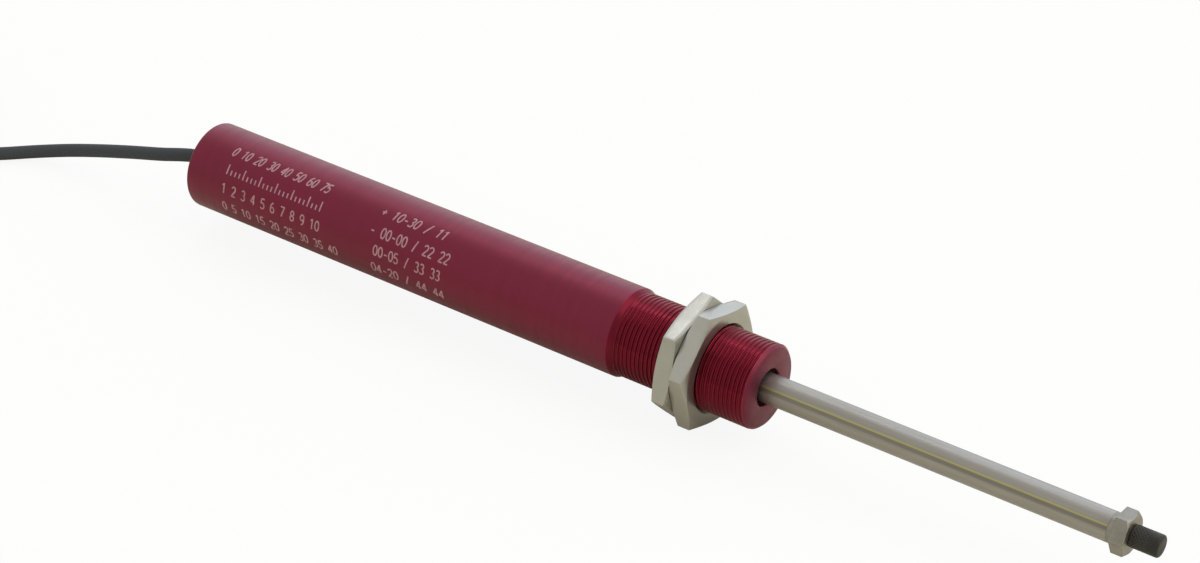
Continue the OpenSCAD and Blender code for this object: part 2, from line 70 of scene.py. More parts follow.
def linear(colour: Colour) -> tuple[float, float, float, float]:
    """Turn a screen colour of 0 to 255 into the linear colour that a shader socket takes.

    Args:
        colour: red, green and blue as seen on a screen.

    Returns:
        Linear red, green and blue, and an alpha of 1.
    """
    c = np.array(colour) / 255.0
    flat = np.where(c <= 0.04045, c / 12.92, ((c + 0.055) / 1.055) ** 2.4)
    return (float(flat[0]), float(flat[1]), float(flat[2]), 1.0)


# Shapes


@dataclass
class Patch:
    """A part of a mesh: its points in millimetres, its faces of four and of three corners, the u, v
    place of every corner of the former, and the edge value of every point."""

    points: np.ndarray
    quads: np.ndarray
    quad_uv: np.ndarray
    fans: np.ndarray
    edge: np.ndarray

    def volume(self) -> float:
        """Add up the volume: a sixth of the sum of a . (b x c) over the triangles of all the faces.

        Returns:
            The volume, which is below 0 where the faces point inwards.
        """
        tris = np.concatenate([self.quads[:, [0, 1, 2]], self.quads[:, [0, 2, 3]], self.fans])
        a, b, c = (self.points[tris[:, k]] for k in range(3))
        return float(np.einsum("ij,ij->i", a, np.cross(b, c)).sum() / 6)

    def outward(self) -> "Patch":
        """Turn the faces to point outwards.

        Returns:
            This patch.
        """
        if self.volume() < 0:
            self.quads = self.quads[:, ::-1]
            self.quad_uv = self.quad_uv[:, ::-1]
            self.fans = self.fans[:, ::-1]
            self.edge = -self.edge
        return self


def grid_patch(grid: np.ndarray, wrap_u: bool = False) -> Patch:
    """Make a closed patch from a grid of points P(u, v), whose last column joins the first.

    The edge value of a point is how sharply the surface turns there: the sum over u and v of
    -(P(+1) + P(-1) - 2 P) . n / (step before + step after), above 0 where the surface is convex.

    Args:
        grid: points in millimetres, one row for each u and one column for each v.
        wrap_u: join the last row to the first, and otherwise close each end with a fan of triangles
            about the middle of its row.

    Returns:
        The patch, with its faces outwards.
    """
    nu, nv = grid.shape[:2]
    steps = nu if wrap_u else nu - 1
    a, b = np.meshgrid(np.arange(steps), np.arange(nv), indexing="ij")
    a2, b2 = (a + 1) % nu, (b + 1) % nv
    quads = np.stack([a * nv + b, a2 * nv + b, a2 * nv + b2, a * nv + b2], -1).reshape(-1, 4)
    size = np.array([steps, nv], float)
    corners = [np.stack([a + i, b + j], -1) / size for i, j in ((0, 0), (1, 0), (1, 1), (0, 1))]
    uv = np.stack(corners, -2).reshape(-1, 4, 2)
    ahead, behind = np.roll(grid, -1, 0), np.roll(grid, 1, 0)
    if not wrap_u:
        ahead[-1], behind[0] = grid[-1], grid[0]
    left, right = np.roll(grid, 1, 1), np.roll(grid, -1, 1)
    normal = np.cross(ahead - behind, right - left)
    normal /= np.linalg.norm(normal, axis=-1, keepdims=True) + 1e-12
    edge = np.zeros((nu, nv))
    for one, other in ((ahead, behind), (right, left)):
        step = np.linalg.norm(one - grid, axis=-1) + np.linalg.norm(grid - other, axis=-1) + 1e-9
        edge -= np.einsum("ijk,ijk->ij", one + other - 2 * grid, normal) / step
    points = grid.reshape(-1, 3)
    fans = np.zeros((0, 3), int)
    if not wrap_u:
        edge[0] = edge[-1] = 0
        middle = len(points)
        points = np.concatenate([points, [grid[0].mean(0)], [grid[-1].mean(0)]])
        j = np.arange(nv)
        first = np.stack([np.full(nv, middle), j, (j + 1) % nv], -1)
        last = np.stack([np.full(nv, middle + 1), (nu - 1) * nv + (j + 1) % nv, (nu - 1) * nv + j], -1)
        fans = np.concatenate([first, last])
        edge = np.concatenate([edge.ravel(), [0, 0]])
    patch = Patch(points, quads, uv, fans, edge.ravel())
    # the grid's own normal and the face order agree, so turning the faces also turns the edge value
    return patch.outward()


def joined(patches: list[Patch]) -> Patch:
    """Put several patches into one.

    Args:
        patches: the patches, in order.

    Returns:
        A patch with all their points and faces.
    """
    starts = np.cumsum([0] + [len(p.points) for p in patches])
    return Patch(
        np.concatenate([p.points for p in patches]),
        np.concatenate([p.quads + s for p, s in zip(patches, starts)]),
        np.concatenate([p.quad_uv for p in patches]),
        np.concatenate([p.fans + s for p, s in zip(patches, starts)]),
        np.concatenate([p.edge for p in patches]),
    )


def linked(name: str, data: bpy.types.ID) -> Object:
    """Make an object and link it into the scene.

    Args:
        name: its name.
        data: its mesh, lamp or camera.

    Returns:
        The object.
    """
    obj = bpy.data.objects.new(name, data)
    bpy.context.scene.collection.objects.link(obj)
    return obj


def make_object(name: str, patch: Patch, crease: float = 40.0) -> Object:
    """Put a patch into a new object at the origin, smooth apart from edges sharper than crease degrees.

    Args:
        name: the piece's name.
        patch: its surface, in millimetres.
        crease: the angle between faces from which an edge stays sharp.

    Returns:
        The object, with a UV map and a point attribute named edge.
    """
    mesh = bpy.data.meshes.new(name)
    mesh.from_pydata(patch.points * MM, [], patch.quads.tolist() + patch.fans.tolist())
    layer = mesh.uv_layers.new(name="UVMap")
    uv = np.concatenate([patch.quad_uv.reshape(-1, 2), np.full((len(patch.fans) * 3, 2), 0.5)])
    layer.data.foreach_set("uv", uv.astype(np.float32).ravel())
    edge = mesh.attributes.new("edge", "FLOAT", "POINT")
    edge.data.foreach_set("value", patch.edge.astype(np.float32))
    mesh.shade_smooth()
    mesh.set_sharp_from_angle(angle=math.radians(crease))
    mesh.update()
    LOG.info("%s: %d points, %d faces", name, len(mesh.vertices), len(mesh.polygons))
    return linked(name, mesh)


def eased(corners: list[tuple[float, float, float]], steps: int) -> np.ndarray:
    """Round the corners of a profile, each by the curve (1-t)^2 A + 2 t (1-t) C + t^2 B.

    Args:
        corners: x, r and ease of each corner C; A and B lie at the ease on either side of it.
        steps: points on each curve, less one.

    Returns:
        The profile's points, x and r, in the order of the corners.
    """
    p = np.array([c[:2] for c in corners], float)
    out = []
    for i, (_, _, ease) in enumerate(corners):
        if ease <= 0 or i in (0, len(corners) - 1):
            out.append(p[i : i + 1])
            continue
        before, after = p[i - 1] - p[i], p[i + 1] - p[i]
        start = p[i] + before * min(0.45, ease / np.linalg.norm(before))
        end = p[i] + after * min(0.45, ease / np.linalg.norm(after))
        t = np.linspace(0, 1, steps + 1)[:, None]
        out.append((1 - t) ** 2 * start + 2 * t * (1 - t) * p[i] + t**2 * end)
    return np.concatenate(out)


def spaced(profile: np.ndarray, longest: float) -> np.ndarray:
    """Divide the steps of a profile evenly.

    Args:
        profile: its points.
        longest: the length that no step may pass.

    Returns:
        The profile with the points between.
    """
    out = [profile[:1]]
    for a, b in zip(profile[:-1], profile[1:]):
        n = max(1, math.ceil(float(np.linalg.norm(b - a)) / longest))
        out.append(a + (b - a) * np.linspace(0, 1, n + 1)[1:, None])
    return np.concatenate(out)


def circle(count: int) -> np.ndarray:
    """Angles around a circle in even steps, in radians."""
    return np.arange(count) * 2 * np.pi / count


def about_x(x: np.ndarray, r: np.ndarray, v: np.ndarray) -> np.ndarray:
    """Points about the X axis, (x, r cos v, r sin v), spread over the shape that x, r and v share."""
    return np.stack(np.broadcast_arrays(x, r * np.cos(v), r * np.sin(v)), -1)


def turned(profile: np.ndarray, around: int) -> np.ndarray:
    """Turn a profile of x and r about the X axis: P(u, v) = (x(u), r(u) cos v, r(u) sin v)."""
    return about_x(profile[:, :1], profile[:, 1:2], circle(around))


def ring_grid(rows: list[tuple], v: np.ndarray) -> np.ndarray:
    """Make a grid about the X axis from rows of x and r, each one number or one for every angle v."""
    x, r = (np.stack([np.broadcast_to(row[k], v.shape) for row in rows]) for k in (0, 1))
    return about_x(x, r, v)


def smooth_path(points: np.ndarray, step: float, fine: int = 24) -> np.ndarray:
    """Carry a curve through points, even in length: cubic pieces whose slope at a point is
    (next - last) / 2, each P(t) = h00 A + h10 Ta + h01 B + h11 Tb.

    Args:
        points: the points that the curve passes through.
        step: the length between the points returned.
        fine: points worked out on each piece before they are spaced.

    Returns:
        Points along the curve, the first and last of the input among them.
    """
    p = np.asarray(points, float)
    ends = np.concatenate([[2 * p[0] - p[1]], p, [2 * p[-1] - p[-2]]])
    slope = (ends[2:] - ends[:-2]) / 2
    t = np.linspace(0, 1, fine + 1)[:-1, None, None]
    h = [2 * t**3 - 3 * t**2 + 1, t**3 - 2 * t**2 + t, 3 * t**2 - 2 * t**3, t**3 - t**2]
    curve = h[0] * p[:-1] + h[1] * slope[:-1] + h[2] * p[1:] + h[3] * slope[1:]
    return even(np.concatenate([curve.transpose(1, 0, 2).reshape(-1, 3), p[-1:]]), step)


def along(path: np.ndarray) -> np.ndarray:
    """Length along a path up to each of its points."""
    return np.concatenate([[0], np.cumsum(np.linalg.norm(np.diff(path, axis=0), axis=1))])


def even(path: np.ndarray, step: float) -> np.ndarray:
    """Space the points of a path evenly, on the straight lines between them.

    Args:
        path: the points.
        step: the length between two of the points returned, nearly.

    Returns:
        The new points.
    """
    reach = along(path)
    at = np.linspace(0, reach[-1], max(2, round(reach[-1] / step) + 1))
    return np.stack([np.interp(at, reach, path[:, k]) for k in range(3)], -1)


def tube(path: np.ndarray, radius: float, around: int) -> np.ndarray:
    """Carry a circle along a path: P(u, v) = C(u) + r (cos v S(u) + sin v N(u)), where S is level and
    square to the path, and N square to both. The path is never upright.

    Args:
        path: the centre line C.
        radius: r.
        around: columns around the path.

    Returns:
        The grid of points.
    """
    ahead = np.gradient(path, axis=0)
    ahead /= np.linalg.norm(ahead, axis=1, keepdims=True)
    side = np.cross(ahead, [0.0, 0.0, 1.0])
    side /= np.linalg.norm(side, axis=1, keepdims=True)
    over = np.cross(side, ahead)
    v = circle(around)[None, :, None]
    return path[:, None] + radius * (np.cos(v) * side[:, None] + np.sin(v) * over[:, None])


def hexagon_reach(angle: np.ndarray, flats: float, turn: float, ease: float = 22.0) -> np.ndarray:
    """Distance from the axis to a hexagon's side at an angle, with its corners just rounded:
    R = -log(sum over sides k of exp(-e a / cos(d_k))) / e, where cos(d_k) is at least 0.35, so that
    a side that faces away counts for nothing.

    Args:
        angle: the angles, from +Y towards +Z, in radians.
        flats: the width across flats, twice the side's distance a.
        turn: where the first corner is, in degrees from -90.
        ease: e, the higher the sharper the corners.

    Returns:
        The distance at each angle.
    """
    total = np.zeros_like(angle)
    for k in range(6):
        mid = math.radians(-90 + turn + 30 + 60 * k)
        facing = np.cos(angle - mid)
        reach = flats / 2 / np.maximum(facing, 0.35)
        total += np.exp(-ease * reach)
    return -np.log(total) / ease


def hexagon_angles(turn: float, per_side: int) -> np.ndarray:
    """Angles around a hexagon, closer together near its corners: d = 30 sin(90 s) for s in -1 to 1."""
    one = 30 * np.sin(np.linspace(-1, 1, per_side + 1)[:-1] * np.pi / 2)
    return np.radians(np.concatenate([-90 + turn + 30 + 60 * k + one for k in range(6)]))


# Finishes


class Pattern(Enum):
    """How the grain of a finish runs: the stretch of the pattern along X, Y and Z."""

    EVEN = (1.0, 1.0, 1.0)
    TURNED = (1.0, 0.03, 0.03)
    DRAWN = (0.02, 1.0, 1.0)
    LAYERED = (0.25, 0.25, 1.0)


class ShaderGroup:
    """A node group with named inputs and outputs, built once and placed in many materials."""

    def __init__(self, name: str, inputs: dict[str, Value], outputs: dict[str, str]) -> None:
        """Open a new group.

        Args:
            name: the group's name.
            inputs: the default of each input: a number, a vector of three or a colour of four.
            outputs: the socket type of each output.
        """
        kinds = {1: NUMBER, 3: VECTOR, 4: COLOUR}
        self.tree = bpy.data.node_groups.new(name, "ShaderNodeTree")
        face = self.tree.interface
        for key, default in inputs.items():
            socket = face.new_socket(name=key, in_out="INPUT", socket_type=kinds[np.size(default)])
            socket.default_value = default
        for key, kind in outputs.items():
            face.new_socket(name=key, in_out="OUTPUT", socket_type=kind)
        self.source = self.tree.nodes.new("NodeGroupInput")
        self.sink = self.tree.nodes.new("NodeGroupOutput")

    def given(self, key: str) -> Socket:
        """The socket inside the group that carries one of its inputs."""
        return self.source.outputs[key]

    def put(self, key: str, socket: Socket) -> None:
        """Lead a socket to one of the group's outputs."""
        self.tree.links.new(socket, self.sink.inputs[key])


def fill(tree: Tree, node: bpy.types.Node, links: dict[str | int, Value]) -> None:
    """Link or set inputs of a node.

    Args:
        tree: the node tree.
        node: the node.
        links: for each input, by name or number, a socket to link or a value to set.
    """
    for key, value in links.items():
        if isinstance(value, Socket):
            tree.links.new(value, node.inputs[key])
        else:
            node.inputs[key].default_value = value


def add_node(tree: Tree, kind: str, links: dict[str | int, Value], **settings: object) -> bpy.types.Node:
    """Add a node, set its properties, and fill its inputs.

    Args:
        tree: the node tree.
        kind: the node's type.
        links: the inputs to link or set.
        settings: the node's own properties.

    Returns:
        The node.
    """
    node = tree.nodes.new(kind)
    for key, value in settings.items():
        setattr(node, key, value)
    fill(tree, node, links)
    return node


def calc(tree: Tree, operation: str, a: Value, b: Value = 0.0, c: Value = 0.0) -> Socket:
    """Add a Math node and return its result."""
    return add_node(tree, "ShaderNodeMath", {0: a, 1: b, 2: c}, operation=operation).outputs[0]


def span(tree: Tree, value: Value, low: Value, high: Value, to_low: Value = 0.0,
         to_high: Value = 1.0, soft: bool = True) -> Socket:
    """Map a value from one range to another.

    Args:
        tree: the node tree.
        value: what is mapped.
        low: the start of its range.
        high: the end of its range.
        to_low: what the start becomes.
        to_high: what the end becomes.
        soft: ease in and out.

    Returns:
        The mapped value.
    """
    kind = "SMOOTHSTEP" if soft else "LINEAR"
    links = {"Value": value, "From Min": low, "From Max": high, "To Min": to_low, "To Max": to_high}
    return add_node(tree, "ShaderNodeMapRange", links, interpolation_type=kind).outputs["Result"]


def mixed(tree: Tree, share: Value, one: Value, two: Value) -> Socket:
    """Mix two colours: the share of the second, then the first and the second."""
    return add_node(tree, "ShaderNodeMix", {0: share, 6: one, 7: two}, data_type="RGBA").outputs[2]


def noise(tree: Tree, place: Socket, scale: Socket, detail: float, roughness: float) -> Socket:
    """Add a noise texture and return its value."""
    links = {"Vector": place, "Scale": scale, "Detail": detail, "Roughness": roughness}
    return add_node(tree, "ShaderNodeTexNoise", links).outputs["Fac"]


def own_place(tree: Tree) -> Socket:
    """The place of a surface point in the piece's own frame."""
    return add_node(tree, "ShaderNodeTexCoord", {}).outputs["Object"]


@cache
def grain_group() -> Tree:
    """Make the group that puts out fine and broad noise, stretched as the finish asks, and a height,
    the fine noise and 0.35 of the broad. The broad noise has 0.09 of the fine one's scale.

    Returns:
        The group's tree.
    """
    g = ShaderGroup(
        "surface_grain",
        {"Vector": (0.0, 0.0, 0.0), "Stretch": (1.0, 1.0, 1.0), "Scale": 1000.0},
        {"Fine": NUMBER, "Broad": NUMBER, "Height": NUMBER},
    )
    t = g.tree
    stretched = {0: g.given("Vector"), 1: g.given("Stretch")}
    place = add_node(t, "ShaderNodeVectorMath", stretched, operation="MULTIPLY").outputs[0]
    fine = noise(t, place, g.given("Scale"), 3.0, 0.55)
    broad = noise(t, place, calc(t, "MULTIPLY", g.given("Scale"), 0.09), 2.0, 0.5)
    g.put("Fine", fine)
    g.put("Broad", broad)
    g.put("Height", calc(t, "MULTIPLY_ADD", broad, 0.35, fine))
    return t


@cache
def tone_group() -> Tree:
    """Make the group that blends a finish's two colours by the grain, and its roughness with them.

    Returns:
        The group's tree.
    """
    g = ShaderGroup(
        "surface_tone",
        {"Base": (1.0, 1.0, 1.0, 1.0), "Shade": (0.5, 0.5, 0.5, 1.0), "Fine": 0.5, "Broad": 0.5,
         "Contrast": 0.4, "Smooth": 0.3, "Rough": 0.5},
        {"Color": COLOUR, "Roughness": NUMBER},
    )
    t = g.tree
    both = calc(t, "MULTIPLY", calc(t, "ADD", g.given("Fine"), g.given("Broad")), 0.5)
    spread = span(t, both, 0.35, 0.65)
    share = calc(t, "MULTIPLY", spread, g.given("Contrast"))
    g.put("Color", mixed(t, share, g.given("Base"), g.given("Shade")))
    g.put("Roughness", span(t, spread, 0.0, 1.0, g.given("Smooth"), g.given("Rough"), soft=False))
    return t


@cache
def wear_and_highlight_group() -> Tree:
    """Make the group that shows a lighter colour where the edge value is high, broken up by the fine
    grain: wear and, on some finishes, a painted highlight. It begins at the start and is full 0.22 above
    it.

    Returns:
        The group's tree.
    """
    g = ShaderGroup(
        "edge_wear_and_highlight",
        {"Edge": 0.0, "Fine": 0.5, "Color": (1.0, 1.0, 1.0, 1.0), "Worn And Highlight": (1.0, 1.0, 1.0, 1.0),
         "Amount": 0.5, "Start": 0.08},
        {"Color": COLOUR},
    )
    t = g.tree
    broken = calc(t, "MULTIPLY", g.given("Edge"), span(t, g.given("Fine"), 0.3, 0.62, 0.35, 1.2))
    full = calc(t, "ADD", g.given("Start"), 0.22)
    mask = calc(t, "MULTIPLY", span(t, broken, g.given("Start"), full), g.given("Amount"))
    g.put("Color", mixed(t, mask, g.given("Color"), g.given("Worn And Highlight")))
    return t


@dataclass(frozen=True)
class FrameFinish:
    """A plain finish that the CAD frame brings, under the name of its material there."""

    name: str

    def build(self) -> bpy.types.Material:
        """Find the frame's material."""
        return bpy.data.materials[self.name]


@dataclass(frozen=True)
class Finish(FrameFinish):
    """How a surface looks: its colours, gloss, grain, and a lighter colour on its edges that is wear on
    most finishes and a painted highlight on some. No name is one of the frame's.
    """

    base: Colour
    shade: Colour
    metallic: float = 0.0
    smooth: float = 0.4
    rough: float = 0.55
    pattern: Pattern = Pattern.EVEN
    scale: float = 4200.0
    contrast: float = 0.4
    relief: float = 0.004
    # the lighter colour on convex edges: wear on most finishes, a painted highlight on the thread's
    # crests, the bevel and the tip's end face
    worn_and_highlight: Colour = (200, 200, 200)
    wear_and_highlight: float = 0.0
    wear_and_highlight_start: float = 0.08
    coat: float = 0.0
    coat_roughness: float = 0.2
    specular: float = 0.5
    bump: float = 0.6

    def tint(self, tree: Tree, colour: Socket) -> Socket:
        """Leave the colour as it is; a finish with marks of its own changes it here."""
        return colour

    @cache
    def build(self) -> bpy.types.Material:
        """Make the material: grain, then tone, then the lighter edges of wear and painted highlight, into
        one Principled shader.

        Returns:
            The material, the same one each time it is asked for.
        """
        material = bpy.data.materials.new(self.name)
        material.use_nodes = True
        t = material.node_tree
        links = {"Vector": own_place(t), "Stretch": self.pattern.value, "Scale": self.scale}
        grain = add_node(t, "ShaderNodeGroup", links, node_tree=grain_group())
        fine = grain.outputs["Fine"]
        links = {"Base": linear(self.base), "Shade": linear(self.shade), "Fine": fine,
                 "Broad": grain.outputs["Broad"], "Contrast": self.contrast, "Smooth": self.smooth,
                 "Rough": self.rough}
        tone = add_node(t, "ShaderNodeGroup", links, node_tree=tone_group())
        colour = self.tint(t, tone.outputs["Color"])
        # lighter colour on convex edges: wear, and on some finishes a painted highlight
        if self.wear_and_highlight > 0:
            edge = add_node(t, "ShaderNodeAttribute", {}, attribute_name="edge").outputs["Fac"]
            links = {"Edge": edge, "Fine": fine, "Color": colour, "Worn And Highlight": linear(self.worn_and_highlight),
                     "Amount": self.wear_and_highlight, "Start": self.wear_and_highlight_start}
            colour = add_node(t, "ShaderNodeGroup", links, node_tree=wear_and_highlight_group()).outputs["Color"]
        links = {"Height": grain.outputs["Height"], "Strength": self.bump, "Distance": self.relief * MM}
        normal = add_node(t, "ShaderNodeBump", links).outputs["Normal"]
        fill(t, t.nodes["Principled BSDF"], {
            "Base Color": colour, "Roughness": tone.outputs["Roughness"], "Metallic": self.metallic,
            "Coat Weight": self.coat, "Coat Roughness": self.coat_roughness,
            "Specular IOR Level": self.specular, "Normal": normal,
        })
        return material


@dataclass(frozen=True)
class SeamFinish(Finish):
    """Ground steel tube with the line of its weld seam, at an angle from +Y towards +Z, and a band of
    painted shade below it. Angles are in degrees."""

    seam: Colour = (172, 168, 112)
    seam_angle: float = 143.5
    seam_half: float = 4.0
    seam_end: float = 108.0
    painted_shade_below: Colour = (112, 106, 94)
    painted_shade_share: float = 0.6

    def tint(self, tree: Tree, colour: Socket) -> Socket:
        """Paint the seam and the painted shade below it: the seam's share falls from 1 to 0 as the angle
        atan2(z, y) leaves the seam's own.

        Args:
            tree: the material's tree.
            colour: the tube's colour.

        Returns:
            The colour with the seam and the painted shade below it.
        """
        t = tree
        parts = add_node(t, "ShaderNodeSeparateXYZ", {"Vector": own_place(t)})
        x, y, z = (parts.outputs[k] for k in "XYZ")
        c, s = math.cos(math.radians(self.seam_angle)), math.sin(math.radians(self.seam_angle))
        ahead = calc(t, "ADD", calc(t, "MULTIPLY", y, c), calc(t, "MULTIPLY", z, s))
        across = calc(t, "SUBTRACT", calc(t, "MULTIPLY", z, c), calc(t, "MULTIPLY", y, s))
        turn = calc(t, "ARCTAN2", across, ahead)
        half = math.radians(self.seam_half)
        line = span(t, calc(t, "ABSOLUTE", turn), half * 0.55, half * 1.1, 1.0, 0.0)
        ends = span(t, x, (self.seam_end - 0.5) * MM, self.seam_end * MM, 1.0, 0.0)
        # painted shade: a darker band on the seam's lower side, fading out from 3 to 6 half-widths away
        fade = span(t, turn, half * 3, half * 6, self.painted_shade_share, 0.0)
        band = calc(t, "MULTIPLY", span(t, turn, 0.0, half), fade)
        with_painted_shade = mixed(t, calc(t, "MULTIPLY", band, ends), colour, linear(self.painted_shade_below))
        return mixed(t, calc(t, "MULTIPLY", line, ends), with_painted_shade, linear(self.seam))


@dataclass(frozen=True)
class WoundFinish(Finish):
    """Fine enamelled wire, wound turn on turn: painted shade between the turns shows as dark lines across
    X.
    """

    wire: float = 0.16
    painted_shade_between_turns: Colour = (60, 26, 12)

    def tint(self, tree: Tree, colour: Socket) -> Socket:
        """Darken the colour between turns with painted shade, by how near x / wire is to a whole number.

        Args:
            tree: the material's tree.
            colour: the wire's colour.

        Returns:
            The colour with its dark lines of painted shade.
        """
        t = tree
        x = add_node(t, "ShaderNodeSeparateXYZ", {"Vector": own_place(t)}).outputs["X"]
        turns = calc(t, "FRACT", calc(t, "DIVIDE", x, self.wire * MM))
        near = calc(t, "ABSOLUTE", calc(t, "SUBTRACT", turns, 0.5))
        return mixed(t, span(t, near, 0.3, 0.5, 0.0, 0.75), colour, linear(self.painted_shade_between_turns))


BARREL = Finish("anodised_satin", (118, 10, 49), (102, 7, 41), metallic=0.8, rough=0.5,
                pattern=Pattern.TURNED, scale=9000, contrast=0.3, relief=0.0012, worn_and_highlight=(190, 110, 126),
                wear_and_highlight=0.35, coat=0.5, coat_roughness=0.42, specular=0.25)
# The thread's lighter red on its crests is a painted highlight.
THREAD = Finish("anodised_thread", (117, 25, 43), (92, 19, 34), metallic=0.86, smooth=0.14, rough=0.24,
                pattern=Pattern.TURNED, scale=9000, relief=0.001, worn_and_highlight=(150, 50, 62), wear_and_highlight=0.25,
                wear_and_highlight_start=0.2, specular=0.3)
# The bevel is the thread's anodising made darker: painted shade. Its lighter red on its edges is a
# painted highlight.
SHADED_BEVEL = Finish("anodised_bevel_painted_shade", (112, 22, 42), (88, 16, 34), metallic=0.78, smooth=0.28, rough=0.36,
               pattern=Pattern.TURNED, scale=9000, contrast=0.3, relief=0.001, worn_and_highlight=(150, 60, 76),
               wear_and_highlight=0.3, wear_and_highlight_start=0.2, specular=0.3)
NOSE_FACE = Finish("anodised_face", (112, 38, 62), (96, 31, 52), metallic=0.66, rough=0.5, scale=4000,
                   contrast=0.3, relief=0.0012, worn_and_highlight=(190, 120, 130), wear_and_highlight=0.4, coat=0.2,
                   coat_roughness=0.4, specular=0.3)
# The bores are the barrel's anodising painted dark: painted shade inside the holes.
SHADED_BORE = Finish("anodised_bore_painted_shade", (70, 26, 36), (54, 20, 28), metallic=0.5, smooth=0.45, rough=0.6,
              pattern=Pattern.TURNED, scale=7000, relief=0.002)
NICKEL = Finish("nickel_plate", (174, 174, 168), (158, 156, 147), metallic=0.92, smooth=0.28, rough=0.36,
                scale=3000, contrast=0.22, relief=0.0008, worn_and_highlight=(212, 209, 196), wear_and_highlight=0.5)
STEEL_ROD = SeamFinish("ground_steel", (160, 158, 154), (136, 132, 125), metallic=0.94, smooth=0.34,
                       rough=0.46, pattern=Pattern.DRAWN, scale=6000, contrast=0.5, relief=0.0012,
                       worn_and_highlight=(205, 203, 198), wear_and_highlight=0.4)
STEEL_PLUG = Finish("turned_steel", (146, 144, 136), (124, 121, 109), metallic=0.92, smooth=0.32,
                    rough=0.46, scale=3500, relief=0.002, worn_and_highlight=(212, 210, 204), wear_and_highlight=0.5)
TIP = Finish("black_oxide", (46, 44, 42), (33, 32, 30), metallic=0.35, smooth=0.42, rough=0.6, scale=5000,
             contrast=0.5, relief=0.002, worn_and_highlight=(104, 99, 95), wear_and_highlight=0.4, wear_and_highlight_start=0.12)
# The tip's end face: its lighter rim is contact wear and a painted highlight where the rim catches light.
TIP_FACE = Finish("contact_face_wear_and_highlight", (48, 45, 43), (35, 33, 32), metallic=0.5, smooth=0.36, contrast=0.8,
                  relief=0.003, worn_and_highlight=(104, 100, 96), wear_and_highlight=0.7, wear_and_highlight_start=0.05)
JACKET = FrameFinish("cable_jacket")
RUBBER = Finish("grommet_rubber", (34, 35, 37), (27, 28, 30), smooth=0.55, rough=0.72, contrast=0.5,
                relief=0.01, specular=0.4)
TIE = Finish("tie_nylon", (30, 30, 32), (24, 24, 26), smooth=0.38, rough=0.52, scale=2600, contrast=0.5,
             relief=0.006)
SPRING = Finish("spring_wire", (166, 164, 160), (128, 126, 122), metallic=0.95, smooth=0.25, rough=0.4,
                scale=5000, contrast=0.5, relief=0.002)
ETCHING = Finish("laser_etching", (190, 148, 157), (158, 113, 126), metallic=0.25, smooth=0.55,
                 rough=0.72, scale=9000, contrast=0.7)
TINNED = FrameFinish("tinned_copper")
LEADS = tuple(FrameFinish("lead_" + colour) for colour in ("red", "black", "green", "white"))
INNER = {
    "front_bearing": Finish("sintered_bronze", (172, 128, 74), (132, 94, 52), metallic=0.8, rough=0.62,
                            scale=6500, contrast=0.7, relief=0.006),
    "rod_wiper": RUBBER,
    "cap_seal": RUBBER,
    "stop_washer": Finish("stop_washer_foam", (176, 142, 96), (150, 118, 76), smooth=0.6, rough=0.8,
                          scale=5200, contrast=0.6, relief=0.01),
    "probe_holder": Finish("turned_polymer", (214, 206, 186), (196, 186, 164), pattern=Pattern.TURNED,
                           scale=5200, relief=0.003),
    "probe_former": Finish("dark_polymer", (58, 54, 50), (44, 42, 40), smooth=0.45, rough=0.6,
                           scale=2500),
    "probe_winding": WoundFinish("wound_copper", (186, 102, 52), (150, 76, 36), metallic=0.85,
                                 smooth=0.28, rough=0.42, scale=6000, relief=0.002),
    "probe_sleeve": Finish("clear_sleeve", (206, 170, 98), (186, 148, 80), smooth=0.25, rough=0.4,
                           pattern=Pattern.DRAWN, relief=0.002),
    "probe_tip": Finish("white_polymer", (222, 220, 214), (206, 202, 194), scale=2500),
    "spacer_sleeve": Finish("amber_film", (188, 132, 52), (166, 110, 38), smooth=0.22, rough=0.38,
                            pattern=Pattern.DRAWN, scale=2600, relief=0.003),
    "circuit_board": Finish("solder_mask", (28, 92, 56), (20, 74, 44), smooth=0.3, rough=0.45,
                            pattern=Pattern.LAYERED, scale=3200, contrast=0.6, relief=0.006),
    "signal_chip": FrameFinish("chip_black"),
    "board_parts": FrameFinish("ceramic_brown"),
    "feed_pins": Finish("gold_flash", (206, 168, 88), (178, 140, 66), metallic=0.95, smooth=0.22,
                        rough=0.36, scale=7000, relief=0.001),
    "core_wires": Finish("core_yellow", (206, 176, 62), (184, 152, 48)),
    "cable_crimp": STEEL_PLUG,
    "rear_cap": FrameFinish("cap_steel"),
    "retaining_ring": SPRING,
    "cable_grommet": RUBBER,
    "cable_inner": JACKET,
    "guide_piston": Finish("piston_polymer", (70, 66, 62), (54, 51, 48), smooth=0.36, rough=0.52,
                           pattern=Pattern.TURNED, scale=5200, relief=0.003),
}


def dress(obj: Object, *finishes: FrameFinish) -> None:
    """Give an object the materials of its finishes, in place of what it has.

    Args:
        obj: the object.
        finishes: its finishes, in the order of the faces' material numbers.
    """
    obj.data.materials.clear()
    for finish in finishes:
        obj.data.materials.append(finish.build())


def number_faces(obj: Object, numbers: np.ndarray) -> None:
    """Set the material number of every face."""
    obj.data.polygons.foreach_set("material_index", numbers.astype(np.int32))
    obj.data.update()


def place_piece(obj: Object, body: str, slot: str, stands_for: tuple[str, ...],
                *finishes: FrameFinish) -> None:
    """Dress a finished piece, let it ride on its body, and hide what it stands for.

    Args:
        obj: the piece.
        body: the body that it rides on.
        slot: its material slot; not used.
        stands_for: the CAD nodes that it takes the place of.
        finishes: its finishes.
    """
    dress(obj, *finishes)
    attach(obj, body)
    if stands_for:
        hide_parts(*stands_for)


# Surroundings


